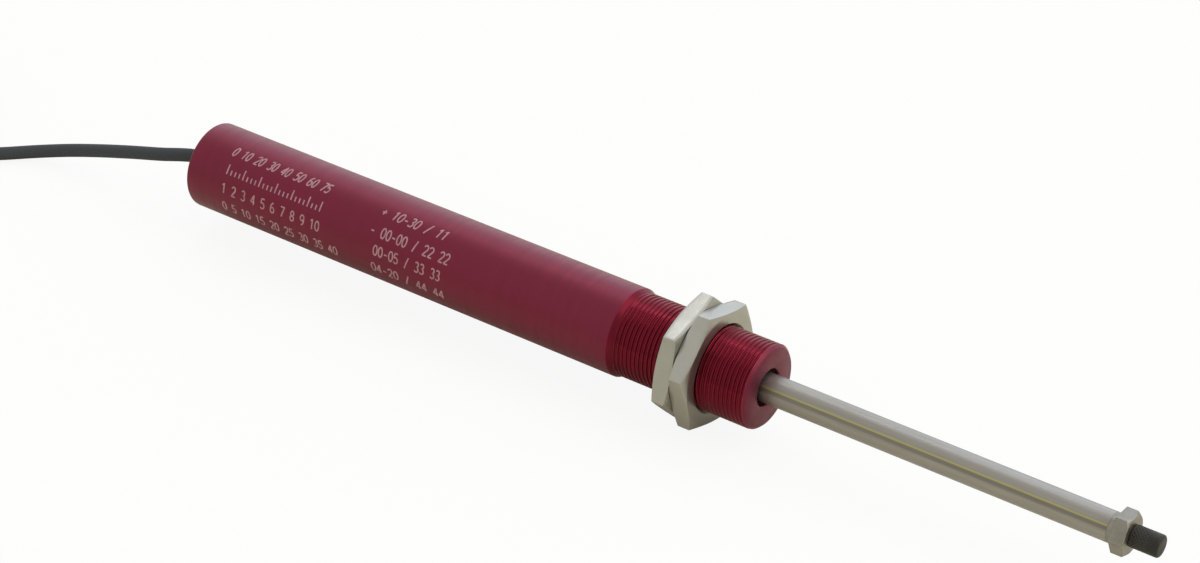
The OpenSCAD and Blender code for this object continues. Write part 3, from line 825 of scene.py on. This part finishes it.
@dataclass
class PhotoCamera:
    """The camera of the photograph, in the part's frame, in metres and degrees."""

    place: Point = (0.29630, -0.44017, 0.35650)
    heading: float = -34.748
    dip: float = 32.955
    roll: float = 0.99
    lens: float = 94.93
    sensor: float = 36.0

    def build(self) -> None:
        """Make the camera: forward = (sin h cos d, cos h cos d, -sin d), then a turn by roll about it."""
        h, d, k = (math.radians(a) for a in (self.heading, self.dip, self.roll))
        ahead = Vector((math.sin(h) * math.cos(d), math.cos(h) * math.cos(d), -math.sin(d)))
        right = ahead.cross(Vector((0, 0, 1))).normalized()
        over = right.cross(ahead)
        side = math.cos(k) * right + math.sin(k) * over
        top = -math.sin(k) * right + math.cos(k) * over
        data = bpy.data.cameras.new("photo_camera")
        data.lens = self.lens
        data.sensor_width = self.sensor
        data.sensor_fit = "HORIZONTAL"
        data.clip_start = 0.01
        data.dof.use_dof = False
        obj = linked("photo_camera", data)
        turn = Matrix((side, top, -ahead)).transposed().to_4x4()
        obj.matrix_world = Matrix.Translation(self.place) @ turn
        bpy.context.scene.camera = obj


@dataclass(frozen=True)
class Lamp:
    """A square soft lamp that faces the part, in metres and watts."""

    name: str
    place: Point
    size: float
    watts: float
    colour: Colour

    def build(self) -> None:
        """Make the lamp."""
        data = bpy.data.lights.new(self.name, "AREA")
        data.shape = "SQUARE"
        data.size = self.size
        data.energy = self.watts
        data.color = linear(self.colour)[:3]
        aim = (-Vector(self.place)).to_track_quat("-Z", "Y")
        linked(self.name, data).matrix_world = Matrix.Translation(self.place) @ aim.to_matrix().to_4x4()


@dataclass
class Studio:
    """White table, soft lamps and the light of a white room."""

    lamps: tuple[Lamp, ...] = (
        Lamp("key_lamp", (-0.6, 0.5, 1.05), 0.25, 0.52, (255, 252, 248)),
        Lamp("fill_lamp", (-0.7, -0.9, 0.7), 1.4, 1.6, (248, 250, 255)),
        Lamp("side_lamp", (0.9, 0.3, 0.9), 1.2, 6.0, (255, 250, 240)),
    )
    table_half: float = 3.0
    table_gap: float = 0.00002
    glow: float = 0.9
    bounce: Colour = (232, 227, 211)
    far_bounce: Colour = (120, 119, 116)
    bounce_near: float = 0.25
    bounce_far: float = 0.8
    bright_way: Point = (-0.297, 0.89, 0.346)
    bright_power: float = 2.2
    bright_level: float = 0.95
    least_level: float = 0.6
    bright_tint: Colour = (238, 244, 255)
    least_tint: Colour = (255, 250, 238)

    def table(self) -> None:
        """The floor: pale, white to the camera, and keeping a part of the object's shadow. The light
        that it throws back to the object is darker with the distance."""
        h = self.table_half
        mesh = bpy.data.meshes.new("table_top")
        z = FLOOR_Z * MM - self.table_gap
        mesh.from_pydata([(-h, -h, z), (h, -h, z), (h, h, z), (-h, h, z)], [], [(0, 1, 2, 3)])
        obj = linked("table_top", mesh)
        material = bpy.data.materials.new("table_white")
        material.use_nodes = True
        t = material.node_tree
        plain = t.nodes["Principled BSDF"]
        glow = add_node(t, "ShaderNodeEmission", {"Color": (1, 1, 1, 1), "Strength": 1.0})
        seen = add_node(t, "ShaderNodeLightPath", {}).outputs["Is Camera Ray"]
        length = add_node(t, "ShaderNodeVectorMath", {0: own_place(t)}, operation="LENGTH")
        reach = length.outputs["Value"]
        share = span(t, reach, self.bounce_near, self.bounce_far)
        bounce = mixed(t, share, linear(self.bounce), linear(self.far_bounce))
        fill(t, plain, {"Roughness": 0.9, "Specular IOR Level": 0.1,
                        "Base Color": mixed(t, seen, bounce, (0.86, 0.86, 0.86, 1))})
        mix = add_node(t, "ShaderNodeMixShader", {0: calc(t, "MULTIPLY", seen, self.glow),
                                                  1: plain.outputs[0], 2: glow.outputs[0]})
        t.links.new(mix.outputs[0], t.nodes["Material Output"].inputs["Surface"])
        obj.data.materials.append(material)

    def room(self) -> None:
        """World light: white to the camera, and for the object brighter from above and behind. Its
        share of brightness is the direction's part along the bright way, from -0.2 to 1, to a power."""
        world = bpy.data.worlds.new("white_room")
        bpy.context.scene.world = world
        world.use_nodes = True
        t = world.node_tree
        way = add_node(t, "ShaderNodeTexCoord", {}).outputs["Generated"]
        toward = add_node(t, "ShaderNodeVectorMath", {0: way, 1: self.bright_way},
                          operation="DOT_PRODUCT")
        part = span(t, toward.outputs["Value"], -0.2, 1.0, soft=False)
        share = calc(t, "POWER", part, self.bright_power)
        level = calc(t, "MULTIPLY_ADD", share, self.bright_level, self.least_level)
        seen = add_node(t, "ShaderNodeLightPath", {}).outputs["Is Camera Ray"]
        tint = mixed(t, share, linear(self.least_tint), linear(self.bright_tint))
        fill(t, t.nodes["Background"], {"Strength": calc(t, "MAXIMUM", level, seen),
                                        "Color": mixed(t, seen, tint, (1, 1, 1, 1))})

    def build(self) -> None:
        """Make the table, the lamps and the room."""
        self.table()
        for lamp in self.lamps:
            lamp.build()
        self.room()
        bpy.context.scene.view_settings.view_transform = "Standard"


# Sub-assemblies


@dataclass
class CableSet:
    """The free cable: its open run, the coil of the rest, the band round it and the four bare cores."""

    cable_d: float = 3.0
    exit: Point = (-115.0, 0.0, 0.0)
    route: tuple[Point, ...] = (
        (0, 0, 0), (-3, 0, 0), (-6.5, -0.9, -0.5), (-11, -2.1, -1.4), (-19, -2.8, -3.4),
        (-29, -2.9, -6.5), (-38, -3.7, -9.2), (-46, -6.3, -11.1), (-52.5, -10.8, -11.8),
        (-59, -16, -11.8), (-65.5, -21.2, -11.8), (-72, -26.4, -11.8), (-75, -28.8, -11.8),
    )
    coil_centre: tuple[float, float] = (-202.5, -13.2)
    entry_angle: float = -51.3
    turns: float = 7.0 + 328.7 / 360
    per_turn: int = 120
    columns: tuple[float, float, float] = (20.0, 17.0, 14.0)
    layers: tuple[float, float, float] = (1.55, 4.6, 7.65)
    tie_angle: float = 100.0
    tie_lift: tuple[float, float, float] = (0.5, 0.35, 0.2)
    tie_reach: float = 14.0
    tie_t: float = 0.6
    tie_w: float = 3.5
    tie_inside: tuple[float, float] = (9.5, 8.75)
    tie_corner: float = 2.2
    lead_d: float = 1.1
    lead_angle: float = -20.0
    lead_start_z: float = -5.7
    lead_offsets: tuple[tuple[float, float], ...] = ((-0.6, -0.6), (-0.6, 0.6), (0.6, -0.6), (0.6, 0.6))
    lead_settled: tuple[float, ...] = (13.8, 15.9, 18.0, 20.1)
    bare_len: float = 6.0
    bare_d: float = 0.7
    strands: int = 7

    def coil_path(self) -> np.ndarray:
        """Centre line of the coil, clockwise from above: (c + r(p) cos a, c + r(p) sin a, z(p)) with
        a = entry - 360 p. Each change of column or layer is a smooth step in its own stretch of a turn,
        and the stretches follow each other so that no turn meets another.

        Returns:
            The points of the line.
        """
        p = np.arange(0, self.turns, 1 / self.per_turn)
        r_out, r_mid, r_in = self.columns
        z1, z2, z3 = self.layers

        def step(turn: float, start: float, end: float) -> np.ndarray:
            """0 before a stretch of a turn, 1 after it, 3 t^2 - 2 t^3 in it."""
            t = np.clip((p - (turn - 1 + start / 360)) / ((end - start) / 360), 0, 1)
            return 3 * t**2 - 2 * t**3

        r = r_out + (r_mid - r_out) * step(1, 272, 359) + (r_in - r_mid) * step(2, 272, 359)
        r += (r_mid - r_in) * step(4, 129, 215) + (r_out - r_mid) * step(5, 129, 215)
        r += (r_mid - r_out) * step(7, 2, 89) + (r_in - r_mid) * step(8, 2, 89)
        lift_a, lift_b = step(3, 215, 272), step(6, 89, 129)
        z = z1 + (z2 - z1) * lift_a + (z3 - z2) * lift_b
        angle = self.entry_angle - 360 * p
        off = (angle - self.tie_angle + 180) % 360 - 180
        low, mid, high = self.tie_lift
        z += (low + (mid - low) * lift_a + (high - mid) * lift_b) * np.exp(-((off / self.tie_reach) ** 2))
        a = np.radians(angle)
        cx, cy = self.coil_centre
        return np.stack([cx + r * np.cos(a), cy + r * np.sin(a), FLOOR_Z + z], -1)

    def centre_line(self) -> np.ndarray:
        """Lead a smooth curve through the route's points into the coil.

        Returns:
            The whole cable's centre line, in steps of 1 mm.
        """
        coil = self.coil_path()
        run = np.array(self.route) + np.array(self.exit)
        curve = smooth_path(np.concatenate([run, coil[4:20:8]]), 1.0)
        near = int(np.linalg.norm(curve - coil[4], axis=1).argmin())
        return even(np.concatenate([curve[:near], coil[4:]]), 1.0)

    def lead_path(self, i: int) -> np.ndarray:
        """Centre line of a core from the jacket's end: (c + r cos a, c + r sin a, z), where a goes back
        round the coil, r from the core's place in the jacket to where it settles on the coil's top.

        Args:
            i: the core's number, from 0.

        Returns:
            The points of the line.
        """
        off, lift = self.lead_offsets[i]
        r0, r1 = self.columns[2] + off, self.lead_settled[i]
        top = FLOOR_Z + 3 * self.cable_d + 0.2 + self.lead_d / 2 + 0.02
        z0 = self.lead_start_z
        steps = [(-8, 0, z0, 0.7), (0, 0, z0, 1), (14, 0.05, z0 + 1, 1), (31, 0.2, top + 0.62, 1),
                 (52, 0.5, top + 0.5, 0.8), (73, 0.85, top + 0.2, 0.3)]
        steps += [(73 + math.degrees(4.5 * k / r1), 1, top, 0) for k in range(1, 5)]
        back, share, z, k = np.array(steps).T
        r = (1 - share) * np.where(back < 0, self.columns[2] + 0.7 * off, r0) + share * r1
        a = np.radians(self.lead_angle - back)
        cx, cy = self.coil_centre
        return smooth_path(np.stack([cx + r * np.cos(a), cy + r * np.sin(a), z + lift * k], -1), 0.6)

    def band(self) -> Object:
        """The band: a rounded rectangle's outline (s), carried as a flat strap with rounded edges (v).

        Returns:
            The object.
        """
        w, h = self.tie_inside
        a = circle(96)
        out = np.stack([np.cos(a), np.sin(a)], -1)
        outline = np.sign(out) * (np.array([w, h]) / 2 - self.tie_corner) + self.tie_corner * out
        section = np.array([(0, -0.5), (0, 0.5), (0.35, 0.5), (1, 0.44), (1, -0.44), (0.35, -0.5)])
        section *= [self.tie_t, self.tie_w]
        base = outline[:, None] + out[:, None] * section[None, :, :1]
        t = math.radians(self.tie_angle)
        radial = np.array([math.cos(t), math.sin(t), 0])
        round_way = np.array([-math.sin(t), math.cos(t), 0])
        centre = np.array([*self.coil_centre, 0]) + (self.columns[0] + self.columns[2]) / 2 * radial
        centre[2] = FLOOR_Z + self.tie_t + h / 2
        grid = centre + base[..., :1] * radial + base[..., 1:] * np.array([0, 0, 1])
        return make_object("coil_tie", grid_patch(grid + section[None, :, 1:] * round_way, wrap_u=True))

    def bare_tip(self, path: np.ndarray) -> Patch:
        """The bare end of a core: a twist of strands, a tube with r (1 + 0.1 cos(n v - 3.5 u)), where u
        counts the rows along it.

        Args:
            path: the core's centre line.

        Returns:
            The surface.
        """
        end = path[-1] - path[-4]
        end /= np.linalg.norm(end)
        bare = path[-1] + np.linspace(-1.0, self.bare_len, 29)[:, None] * end
        v = circle(2 * self.strands)
        ridges = 1 + 0.1 * np.cos(self.strands * (v[None, :] - 0.5 * np.arange(29)[:, None]))
        grid = tube(bare, self.bare_d / 2, len(v))
        return grid_patch(bare[:, None] + (grid - bare[:, None]) * ridges[..., None])

    def build(self) -> None:
        line = self.centre_line()
        cable = make_object("signal_cable", grid_patch(tube(line, self.cable_d / 2, 16)))
        place_piece(cable, "barrel", "cable_jacket", ("cable_run", "cable_coil"), JACKET)
        band = self.band()
        place_piece(band, "barrel", "tie_black", ("cable_tie",), TIE)
        tips = []
        for i, finish in enumerate(LEADS):
            path = self.lead_path(i)
            lead = make_object(finish.name + "_core", grid_patch(tube(path, self.lead_d / 2, 12)))
            place_piece(lead, "barrel", finish.name, (finish.name,), finish)
            tips.append(self.bare_tip(path))
        bare_tips = make_object("bare_tips", joined(tips))
        place_piece(bare_tips, "barrel", "tinned_copper", ("lead_tips",), TINNED)
        tuple(c * MM for c in self.exit)


@dataclass
class Housing:
    """Barrel and threaded nose, turned from one bar, with the bores inside."""

    barrel_r: float = 9.525
    rear_x: float = -112.0
    rear_round: float = 0.4
    bevel: float = 0.9
    crest_r: float = 9.0
    pitch: float = 1.0
    depth: float = 0.34
    crest_flat: float = 0.28
    root_flat: float = 0.22
    chamfer_x: float = 31.2
    nose_x: float = 31.8
    face_r: float = 8.4
    per_pitch: int = 16
    around: int = 128

    def outer(self) -> np.ndarray:
        """Profile of the outside from the rear face to the start of the thread.

        Returns:
            Its x and r.
        """
        corners = [(self.rear_x, 8.225, 0), (self.rear_x, self.barrel_r, self.rear_round),
                   (-self.bevel, self.barrel_r, 0.12), (0, self.crest_r - 0.05, 0.05),
                   (0.1, self.crest_r - 0.15, 0)]
        return spaced(eased(corners, 4), 2.5)

    def inner(self) -> np.ndarray:
        """Profile of the inside from the nose's face back to the rear face.

        Returns:
            Its x and r.
        """
        corners = [(self.nose_x, self.face_r, 0.12), (self.nose_x, 4.2, 0.05),
                   (self.nose_x - 0.2, 4.0, 0.05), (29, 4.0, 0), (29, 5.5, 0), (15.6, 5.5, 0),
                   (15.6, 7.025, 0), (-77.7, 7.025, 0), (-77.7, 7.525, 0), (-108.5, 7.525, 0),
                   (-108.5, 8.225, 0), (-110.2, 8.225, 0), (-110.2, 8.725, 0), (-111.2, 8.725, 0),
                   (-111.2, 8.225, 0), (-111.9, 8.225, 0.05), (self.rear_x, 8.3, 0)]
        return spaced(eased(corners, 2), 6.0)

    def thread(self) -> np.ndarray:
        """Thread surface: r = crest - depth g(w), with w = |2 frac(x / pitch - v / 2 pi) - 1|, which is 1
        at the crest and 0 at the root, and g a smooth step between the two flats. The depth grows from
        0 just after the bevel and ends at the nose's chamfer, whose cone cuts the crests.

        Returns:
            The grid of points.
        """
        start = 0.2
        x = np.arange(start, self.nose_x - 0.02, self.pitch / self.per_pitch)[:, None]
        v = circle(self.around)[None]
        w = np.abs(2 * np.mod(x / self.pitch - v / (2 * np.pi), 1.0) - 1)
        g = np.clip((1 - self.crest_flat - w) / (1 - self.crest_flat - self.root_flat), 0, 1)
        g = 0.7 * g + 0.3 * (3 * g**2 - 2 * g**3)
        grown = np.clip((x - start) / 0.5, 0, 1)
        left = np.clip((self.chamfer_x + 0.3 - x) / 0.4, 0, 1)
        r = self.crest_r - self.depth * g * grown * left - 0.15 * (1 - grown)
        slope = (self.face_r - self.crest_r) / (self.nose_x - self.chamfer_x)
        return about_x(x, np.minimum(r, self.crest_r + slope * (x - self.chamfer_x)), v)

    def build(self) -> None:
        """Make the housing as one closed surface and number its stretches: 0 barrel, 1 thread, 2 nose
        face, 3 bores, 4 bevel."""
        parts = [turned(self.outer(), self.around), self.thread(), turned(self.inner(), self.around)]
        outer, thread, _ = (len(p) for p in parts)
        obj = make_object("sensor_housing", grid_patch(np.concatenate(parts), wrap_u=True), crease=50)
        place_piece(obj, "barrel", "body_red", ("housing",), BARREL, THREAD, NOSE_FACE, SHADED_BORE, SHADED_BEVEL)
        x = np.concatenate([part[:, 0, 0] for part in parts])
        row = np.arange(len(x))
        inside = row >= outer + thread - 1
        stretch = np.zeros(len(x), int)
        stretch[(x > -self.bevel) & (x < self.chamfer_x)] = 1
        stretch[(x > -self.bevel) & (row < outer)] = 4
        stretch[inside] = 3
        stretch[inside & (x > self.nose_x - 0.3)] = 2
        stretch[-3:] = 0
        number_faces(obj, np.repeat(stretch, self.around))


@dataclass
class EtchedMarks:
    """Plain marks on the barrel: two blocks of four rows, with numbers, ticks and bars. A row has its
    signs, where it starts and ends along X, the angle of its middle in degrees, and its slant."""

    barrel_r: float = 9.525
    proud: float = 0.01
    sunk: float = 0.05
    height: float = 2.2
    stroke: float = 0.33
    widest: float = 0.72
    rows: tuple[tuple[str, float, float, float, float], ...] = (
        ("0 10 20 30 40 50 60 75", -102.4, -75.6, 115.0, 0.2),
        ("|,,,|,,,|,,,|,,,|,,,|,,|", -102.0, -75.2, 140.6, 0.0),
        ("1 2 3 4 5 6 7 8 9 10", -102.0, -74.8, 166.5, 0.0),
        ("0 5 10 15 20 25 30 35 40", -102.0, -70.0, 193.0, 0.0),
        ("+ 10-30 / 11", -61.6, -44.4, 115.6, 0.2),
        ("- 00-00 / 22 22", -62.2, -41.4, 142.6, 0.0),
        ("00-05 / 33 33", -60.4, -42.6, 167.0, 0.0),
        ("04-20 / 44 44", -61.0, -41.6, 192.4, 0.0),
    )

    def arc(self, cx: float, cy: float, rx: float, ry: float, start: float, end: float) -> np.ndarray:
        """Points on an ellipse, (cx + rx cos a, cy + ry sin a), from one angle to another in degrees."""
        a = np.radians(np.linspace(start, end, max(6, int(abs(end - start) / 18))))
        return np.stack([cx + rx * np.cos(a), cy + ry * np.sin(a)], -1)

    def figure(self, sign: str) -> list[np.ndarray]:
        """Draw a figure or sign in a box 0.6 wide and 1 high.

        Args:
            sign: the figure or sign.

        Returns:
            The points of each of its lines; a space has none.
        """
        arc = self.arc
        shapes = {
            "0": [arc(0.3, 0.5, 0.26, 0.5, 90, 450)],
            "1": [[(0.08, 0.8), (0.32, 1.0), (0.32, 0.0)]],
            "2": [[*arc(0.3, 0.73, 0.25, 0.27, 165, -30), (0.04, 0.0), (0.56, 0.0)]],
            "3": [[*arc(0.28, 0.76, 0.22, 0.24, 150, -80), *arc(0.28, 0.26, 0.26, 0.26, 80, -150)]],
            "4": [[(0.42, 0.0), (0.42, 1.0), (0.02, 0.28), (0.58, 0.28)]],
            "5": [[(0.52, 1.0), (0.1, 1.0), (0.07, 0.56), *arc(0.27, 0.3, 0.28, 0.3, 115, -145)]],
            "6": [[*arc(0.42, 0.5, 0.37, 0.5, 95, 180), *arc(0.3, 0.28, 0.25, 0.28, 180, 540)]],
            "7": [[(0.03, 1.0), (0.56, 1.0), (0.2, 0.0)]],
            "8": [arc(0.3, 0.75, 0.21, 0.24, -90, 270), arc(0.3, 0.26, 0.25, 0.26, 90, 450)],
            "9": [[*arc(0.3, 0.72, 0.25, 0.28, 0, 360), *arc(0.18, 0.5, 0.37, 0.5, 0, -85)]],
            "+": [[(0.04, 0.45), (0.56, 0.45)], [(0.3, 0.18), (0.3, 0.72)]],
            "-": [[(0.1, 0.42), (0.5, 0.42)]],
            "/": [[(0.1, -0.08), (0.5, 1.05)]],
            "|": [[(0.3, 0.0), (0.3, 1.0)]],
            ",": [[(0.3, 0.0), (0.3, 0.5)]],
        }
        return [np.array(line) for line in shapes.get(sign, [])]

    def ribbon(self, line: np.ndarray, x: float, angle: float) -> Patch:
        """Carry a thin square section along a flat line and lay it round the barrel: a point (s, h) goes
        to (x + s, r cos a, r sin a) with a = angle - h / r, so that up is towards the barrel's top.

        Args:
            line: the points of the line.
            x: where it starts along the barrel.
            angle: where its zero height is around the barrel, in degrees.

        Returns:
            The surface.
        """
        reach = along(line)
        between = np.linspace(0, reach[-1], max(3, int(reach[-1] / 0.25)))
        fine = np.unique(np.concatenate([reach, between]))
        p = np.stack([np.interp(fine, reach, line[:, k]) for k in range(2)], -1)
        ahead = np.gradient(p, axis=0)
        ahead /= np.linalg.norm(ahead, axis=1, keepdims=True) + 1e-9
        side = np.stack([-ahead[:, 1], ahead[:, 0]], -1) * self.stroke / 2
        flat = np.stack([p - side, p + side, p + side, p - side], 1)
        r = self.barrel_r + np.array([self.proud, self.proud, -self.sunk, -self.sunk])
        a = math.radians(angle) - flat[..., 1] / self.barrel_r
        return grid_patch(about_x(x + flat[..., 0], r, a))

    def row(self, text: str, x0: float, x1: float, angle: float, slant: float) -> list[Patch]:
        """Lay the signs of a row evenly between two places along the barrel.

        Args:
            text: the signs.
            x0: where the row starts.
            x1: where it ends.
            angle: where its middle is around the barrel, in degrees.
            slant: how far a sign leans for each unit of its height.

        Returns:
            A surface for each line of each sign.
        """
        pitch = (x1 - x0) / len(text)
        wide = min(self.height, pitch / self.widest)
        patches = []
        for i, sign in enumerate(text):
            for line in self.figure(sign):
                scaled = line * [wide, self.height] - [0, self.height / 2]
                scaled[:, 0] += slant * scaled[:, 1]
                patches.append(self.ribbon(scaled, x0 + i * pitch, angle))
        return patches

    def build(self) -> None:
        """Make both blocks as one piece."""
        obj = make_object("etched_marks", joined([p for r in self.rows for p in self.row(*r)]), crease=30)
        place_piece(obj, "barrel", "body_red", (), ETCHING)


@dataclass
class HexNut:
    """A thin hexagon nut on the nose's thread, chamfered and countersunk on both sides."""

    name: str
    node: str
    body: str
    x: float
    turn: float
    t: float = 4.0
    flats: float = 24.0
    face_r: float = 11.85
    bevel: float = 18.0
    bore_r: float = 9.05
    sink: float = 0.55
    per_side: int = 20

    def grid(self) -> np.ndarray:
        """The nut's surface: each column is the outline at an angle v, from the bore over one face, the
        bevel cone x = (r - face) tan b up to the hexagon's side R(v), along the side and back.

        Returns:
            The grid of points.
        """
        v = hexagon_angles(self.turn, self.per_side)
        reach = hexagon_reach(v, self.flats, self.turn)
        slope = math.tan(math.radians(self.bevel))
        rise = (reach - self.face_r) * slope
        sink_r, half, tiny = self.bore_r + self.sink, self.t / 2, 0.07
        rows = [(half * 0.5, self.bore_r), (self.sink, self.bore_r), (0, sink_r), (0, sink_r + 0.1),
                (0, self.face_r - 0.06), (0.06 * slope, self.face_r + 0.06),
                (rise - tiny * 1.5 * slope, reach - tiny * 1.5), (rise + tiny * 0.25, reach - tiny * 0.4),
                (rise + tiny * 1.2, reach), (0.5 * (rise + half), reach)]
        rows += [(self.t - x, r) for x, r in reversed(rows)]
        return ring_grid([(self.x + x, r) for x, r in rows], v)

    def build(self) -> None:
        """Make the nut and set it on its body."""
        obj = make_object(self.name, grid_patch(self.grid(), wrap_u=True), crease=32)
        place_piece(obj, self.body, "nut_nickel", (self.node,), NICKEL)


@dataclass
class PlungerRod:
    """The rod: a seamed tube, the plug with its hexagon, and the knurled tip."""

    rod_r: float = 3.1
    inner_r: float = 2.5
    tube_x0: float = 9.05
    tube_x1: float = 107.8
    collar_x1: float = 109.0
    hex_x1: float = 112.0
    flats: float = 8.0
    hex_turn: float = 26.0
    hex_ease: float = 40.0
    shank_x: float = 99.8
    shank_r: float = 2.45
    stud_r: float = 1.29
    tip_r: float = 2.3
    tip_x1: float = 118.0
    tip_round: float = 0.5
    around: int = 200
    knurl: int = 18
    knurl_depth: float = 0.14
    knurl_end: float = 115.9

    def tube(self) -> None:
        """The tube, turned from its closed profile."""
        corners = [(self.tube_x0, 2.8, 0), (self.tube_x0, self.rod_r, 0.15),
                   (self.tube_x1, self.rod_r, 0.03), (self.tube_x1, self.inner_r, 0.04),
                   (self.tube_x0, self.inner_r, 0.1), (self.tube_x0, 2.75, 0)]
        profile = spaced(eased(corners, 3), 3.0)
        obj = make_object("rod_tube_ground", grid_patch(turned(profile, 96), wrap_u=True))
        place_piece(obj, "rod", "rod_steel", ("rod_tube",), STEEL_ROD)

    def plug(self) -> None:
        """The plug: shank, collar and hexagon, whose front bevel is the cone of r = flats / 2 - 0.1."""
        v = hexagon_angles(self.hex_turn, 16)
        reach = hexagon_reach(v, self.flats, self.hex_turn, self.hex_ease)
        face_r = self.flats / 2 - 0.1
        cone = np.minimum(reach - face_r, 0.9) * 0.9
        front, collar, joint, inner = self.hex_x1, self.collar_x1, self.tube_x1, self.shank_x
        rows = [(inner + 4, self.stud_r), (front - 0.1, self.stud_r), (front, self.stud_r + 0.1),
                (front, face_r - 0.06), (front - 0.03, face_r + 0.03),
                (front - cone + 0.02, reach - 0.05), (front - cone - 0.05, reach),
                (collar + 0.08, reach), (collar, reach - 0.06), (collar, self.rod_r + 0.02),
                (collar - 0.05, self.rod_r), (joint + 0.04, self.rod_r),
                (joint + 0.01, self.rod_r - 0.03), (joint + 0.01, self.shank_r),
                (inner + 0.2, self.shank_r), (inner, self.shank_r - 0.2), (inner, 1.4),
                (inner + 3.9, 1.4)]
        obj = make_object("rod_plug_hexagon", grid_patch(ring_grid(rows, v), wrap_u=True), crease=32)
        on_collar = np.abs([np.mean(r) - self.rod_r for _, r in rows]) < 0.035
        number_faces(obj, np.repeat(on_collar, len(v)))
        place_piece(obj, "rod", "plated_steel", ("rod_end_plug",), STEEL_PLUG, STEEL_ROD)

    def tip(self) -> None:
        """The tip: r = tip_r - depth k, where k is 1 - |sin((n v +- s x) / 2)| / 0.75 or 0, for the
        deeper of two crossed sets of helical grooves, fading out before the plain front end."""
        x0, x1, ease = self.hex_x1 + 0.02, self.tip_x1, self.tip_round
        body = np.arange(x0 + 0.3, x1 - ease, 0.09)[:, None]
        v = self.knurl * circle(self.around)[None]
        s = self.knurl / self.tip_r
        least = np.minimum(np.abs(np.sin((v + s * body) / 2)), np.abs(np.sin((v - s * body) / 2)))
        groove = np.clip(1 - least / 0.75, 0, 1)
        fade = np.clip((self.knurl_end - body) / 0.5, 0, 1) * np.clip((body - x0 - 0.3) / 0.25, 0, 1)
        middle = about_x(body, self.tip_r - self.knurl_depth * groove * fade, circle(self.around))
        stud_x = self.hex_x1 - 2.5
        shank = turned(np.array([(stud_x, 0.6), (stud_x, 1.0), (stud_x + 0.2, 1.2), (x0 - 0.01, 1.2),
                                 (x0, self.tip_r - 0.25), (x0 + 0.1, self.tip_r - 0.08)]), self.around)
        a = np.radians(np.linspace(10, 90, 7))
        rounding = np.stack([x1 - ease + ease * np.sin(a), self.tip_r - ease + ease * np.cos(a)], -1)
        front = turned(np.concatenate([rounding, [(x1, 1.2), (x1, 0.5)]]), self.around)
        surface = grid_patch(np.concatenate([shank, middle, front]))
        obj = make_object("contact_tip_knurled", surface, crease=45)
        numbers = np.zeros(len(obj.data.polygons), int)
        numbers[(len(shank) + len(middle) + 2) * self.around : -2 * self.around] = 1
        numbers[-self.around :] = 1
        number_faces(obj, numbers)
        place_piece(obj, "rod", "tip_black", ("contact_tip",), TIP, TIP_FACE)

    def build(self) -> None:
        """Make the tube, the plug and the tip."""
        self.tube()
        self.plug()
        self.tip()


@dataclass
class ReturnSpring:
    """The wound spring behind the piston, which shortens as the rod goes in."""

    mean_r: float = 5.85
    wire_r: float = 0.325
    turns: float = 14.0
    seat_x: float = -77.7
    piston_x: float = 8.05
    stroke: float = 75.0
    margin: float = 0.6

    def build(self) -> None:
        """Make the spring: the wire's centre is (x(n), R cos 2 pi n, R sin 2 pi n), with a closed turn at
        each end, and its section a circle square to X and to the radius."""
        wire = 2 * self.wire_r
        room = self.piston_x - self.seat_x - wire - 0.04
        n = np.arange(0, self.turns + 1e-6, 1 / 40)
        rise = np.interp(n, [0, 1, self.turns - 1, self.turns], [0, wire, room - wire, room])
        rise = np.convolve(np.pad(rise, 4, mode="edge"), np.ones(9) / 9, mode="valid")
        b = circle(12)[None]
        x = self.seat_x + self.wire_r + 0.02 + rise[:, None] + self.wire_r * np.sin(b)
        grid = about_x(x, self.mean_r + self.wire_r * np.cos(b), (2 * np.pi * n)[:, None])
        obj = make_object("return_spring_wire", grid_patch(grid))
        place_piece(obj, "barrel", "spring_steel", ("return_spring",), SPRING)
        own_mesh(obj)


def dress_inner_nodes() -> None:
    """Give every CAD node that stays its own finish."""
    for node, finish in INNER.items():
        dress(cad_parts[node], finish)
        LOG.info("%s: dressed with %s", node, finish.name)


def main() -> None:
    """Build the camera and the cable first, then the surroundings and every sub-assembly."""
    PhotoCamera().build()
    CableSet().build()
    Studio().build()
    Housing().build()
    EtchedMarks().build()
    HexNut("rear_nut_plated", "rear_nut", "rear_nut", 12.40, -15.4).build()
    HexNut("front_nut_plated", "front_nut", "front_nut", 16.45, 15.4).build()
    PlungerRod().build()
    ReturnSpring().build()
    dress_inner_nodes()


if __name__ == "__main__":
    main()
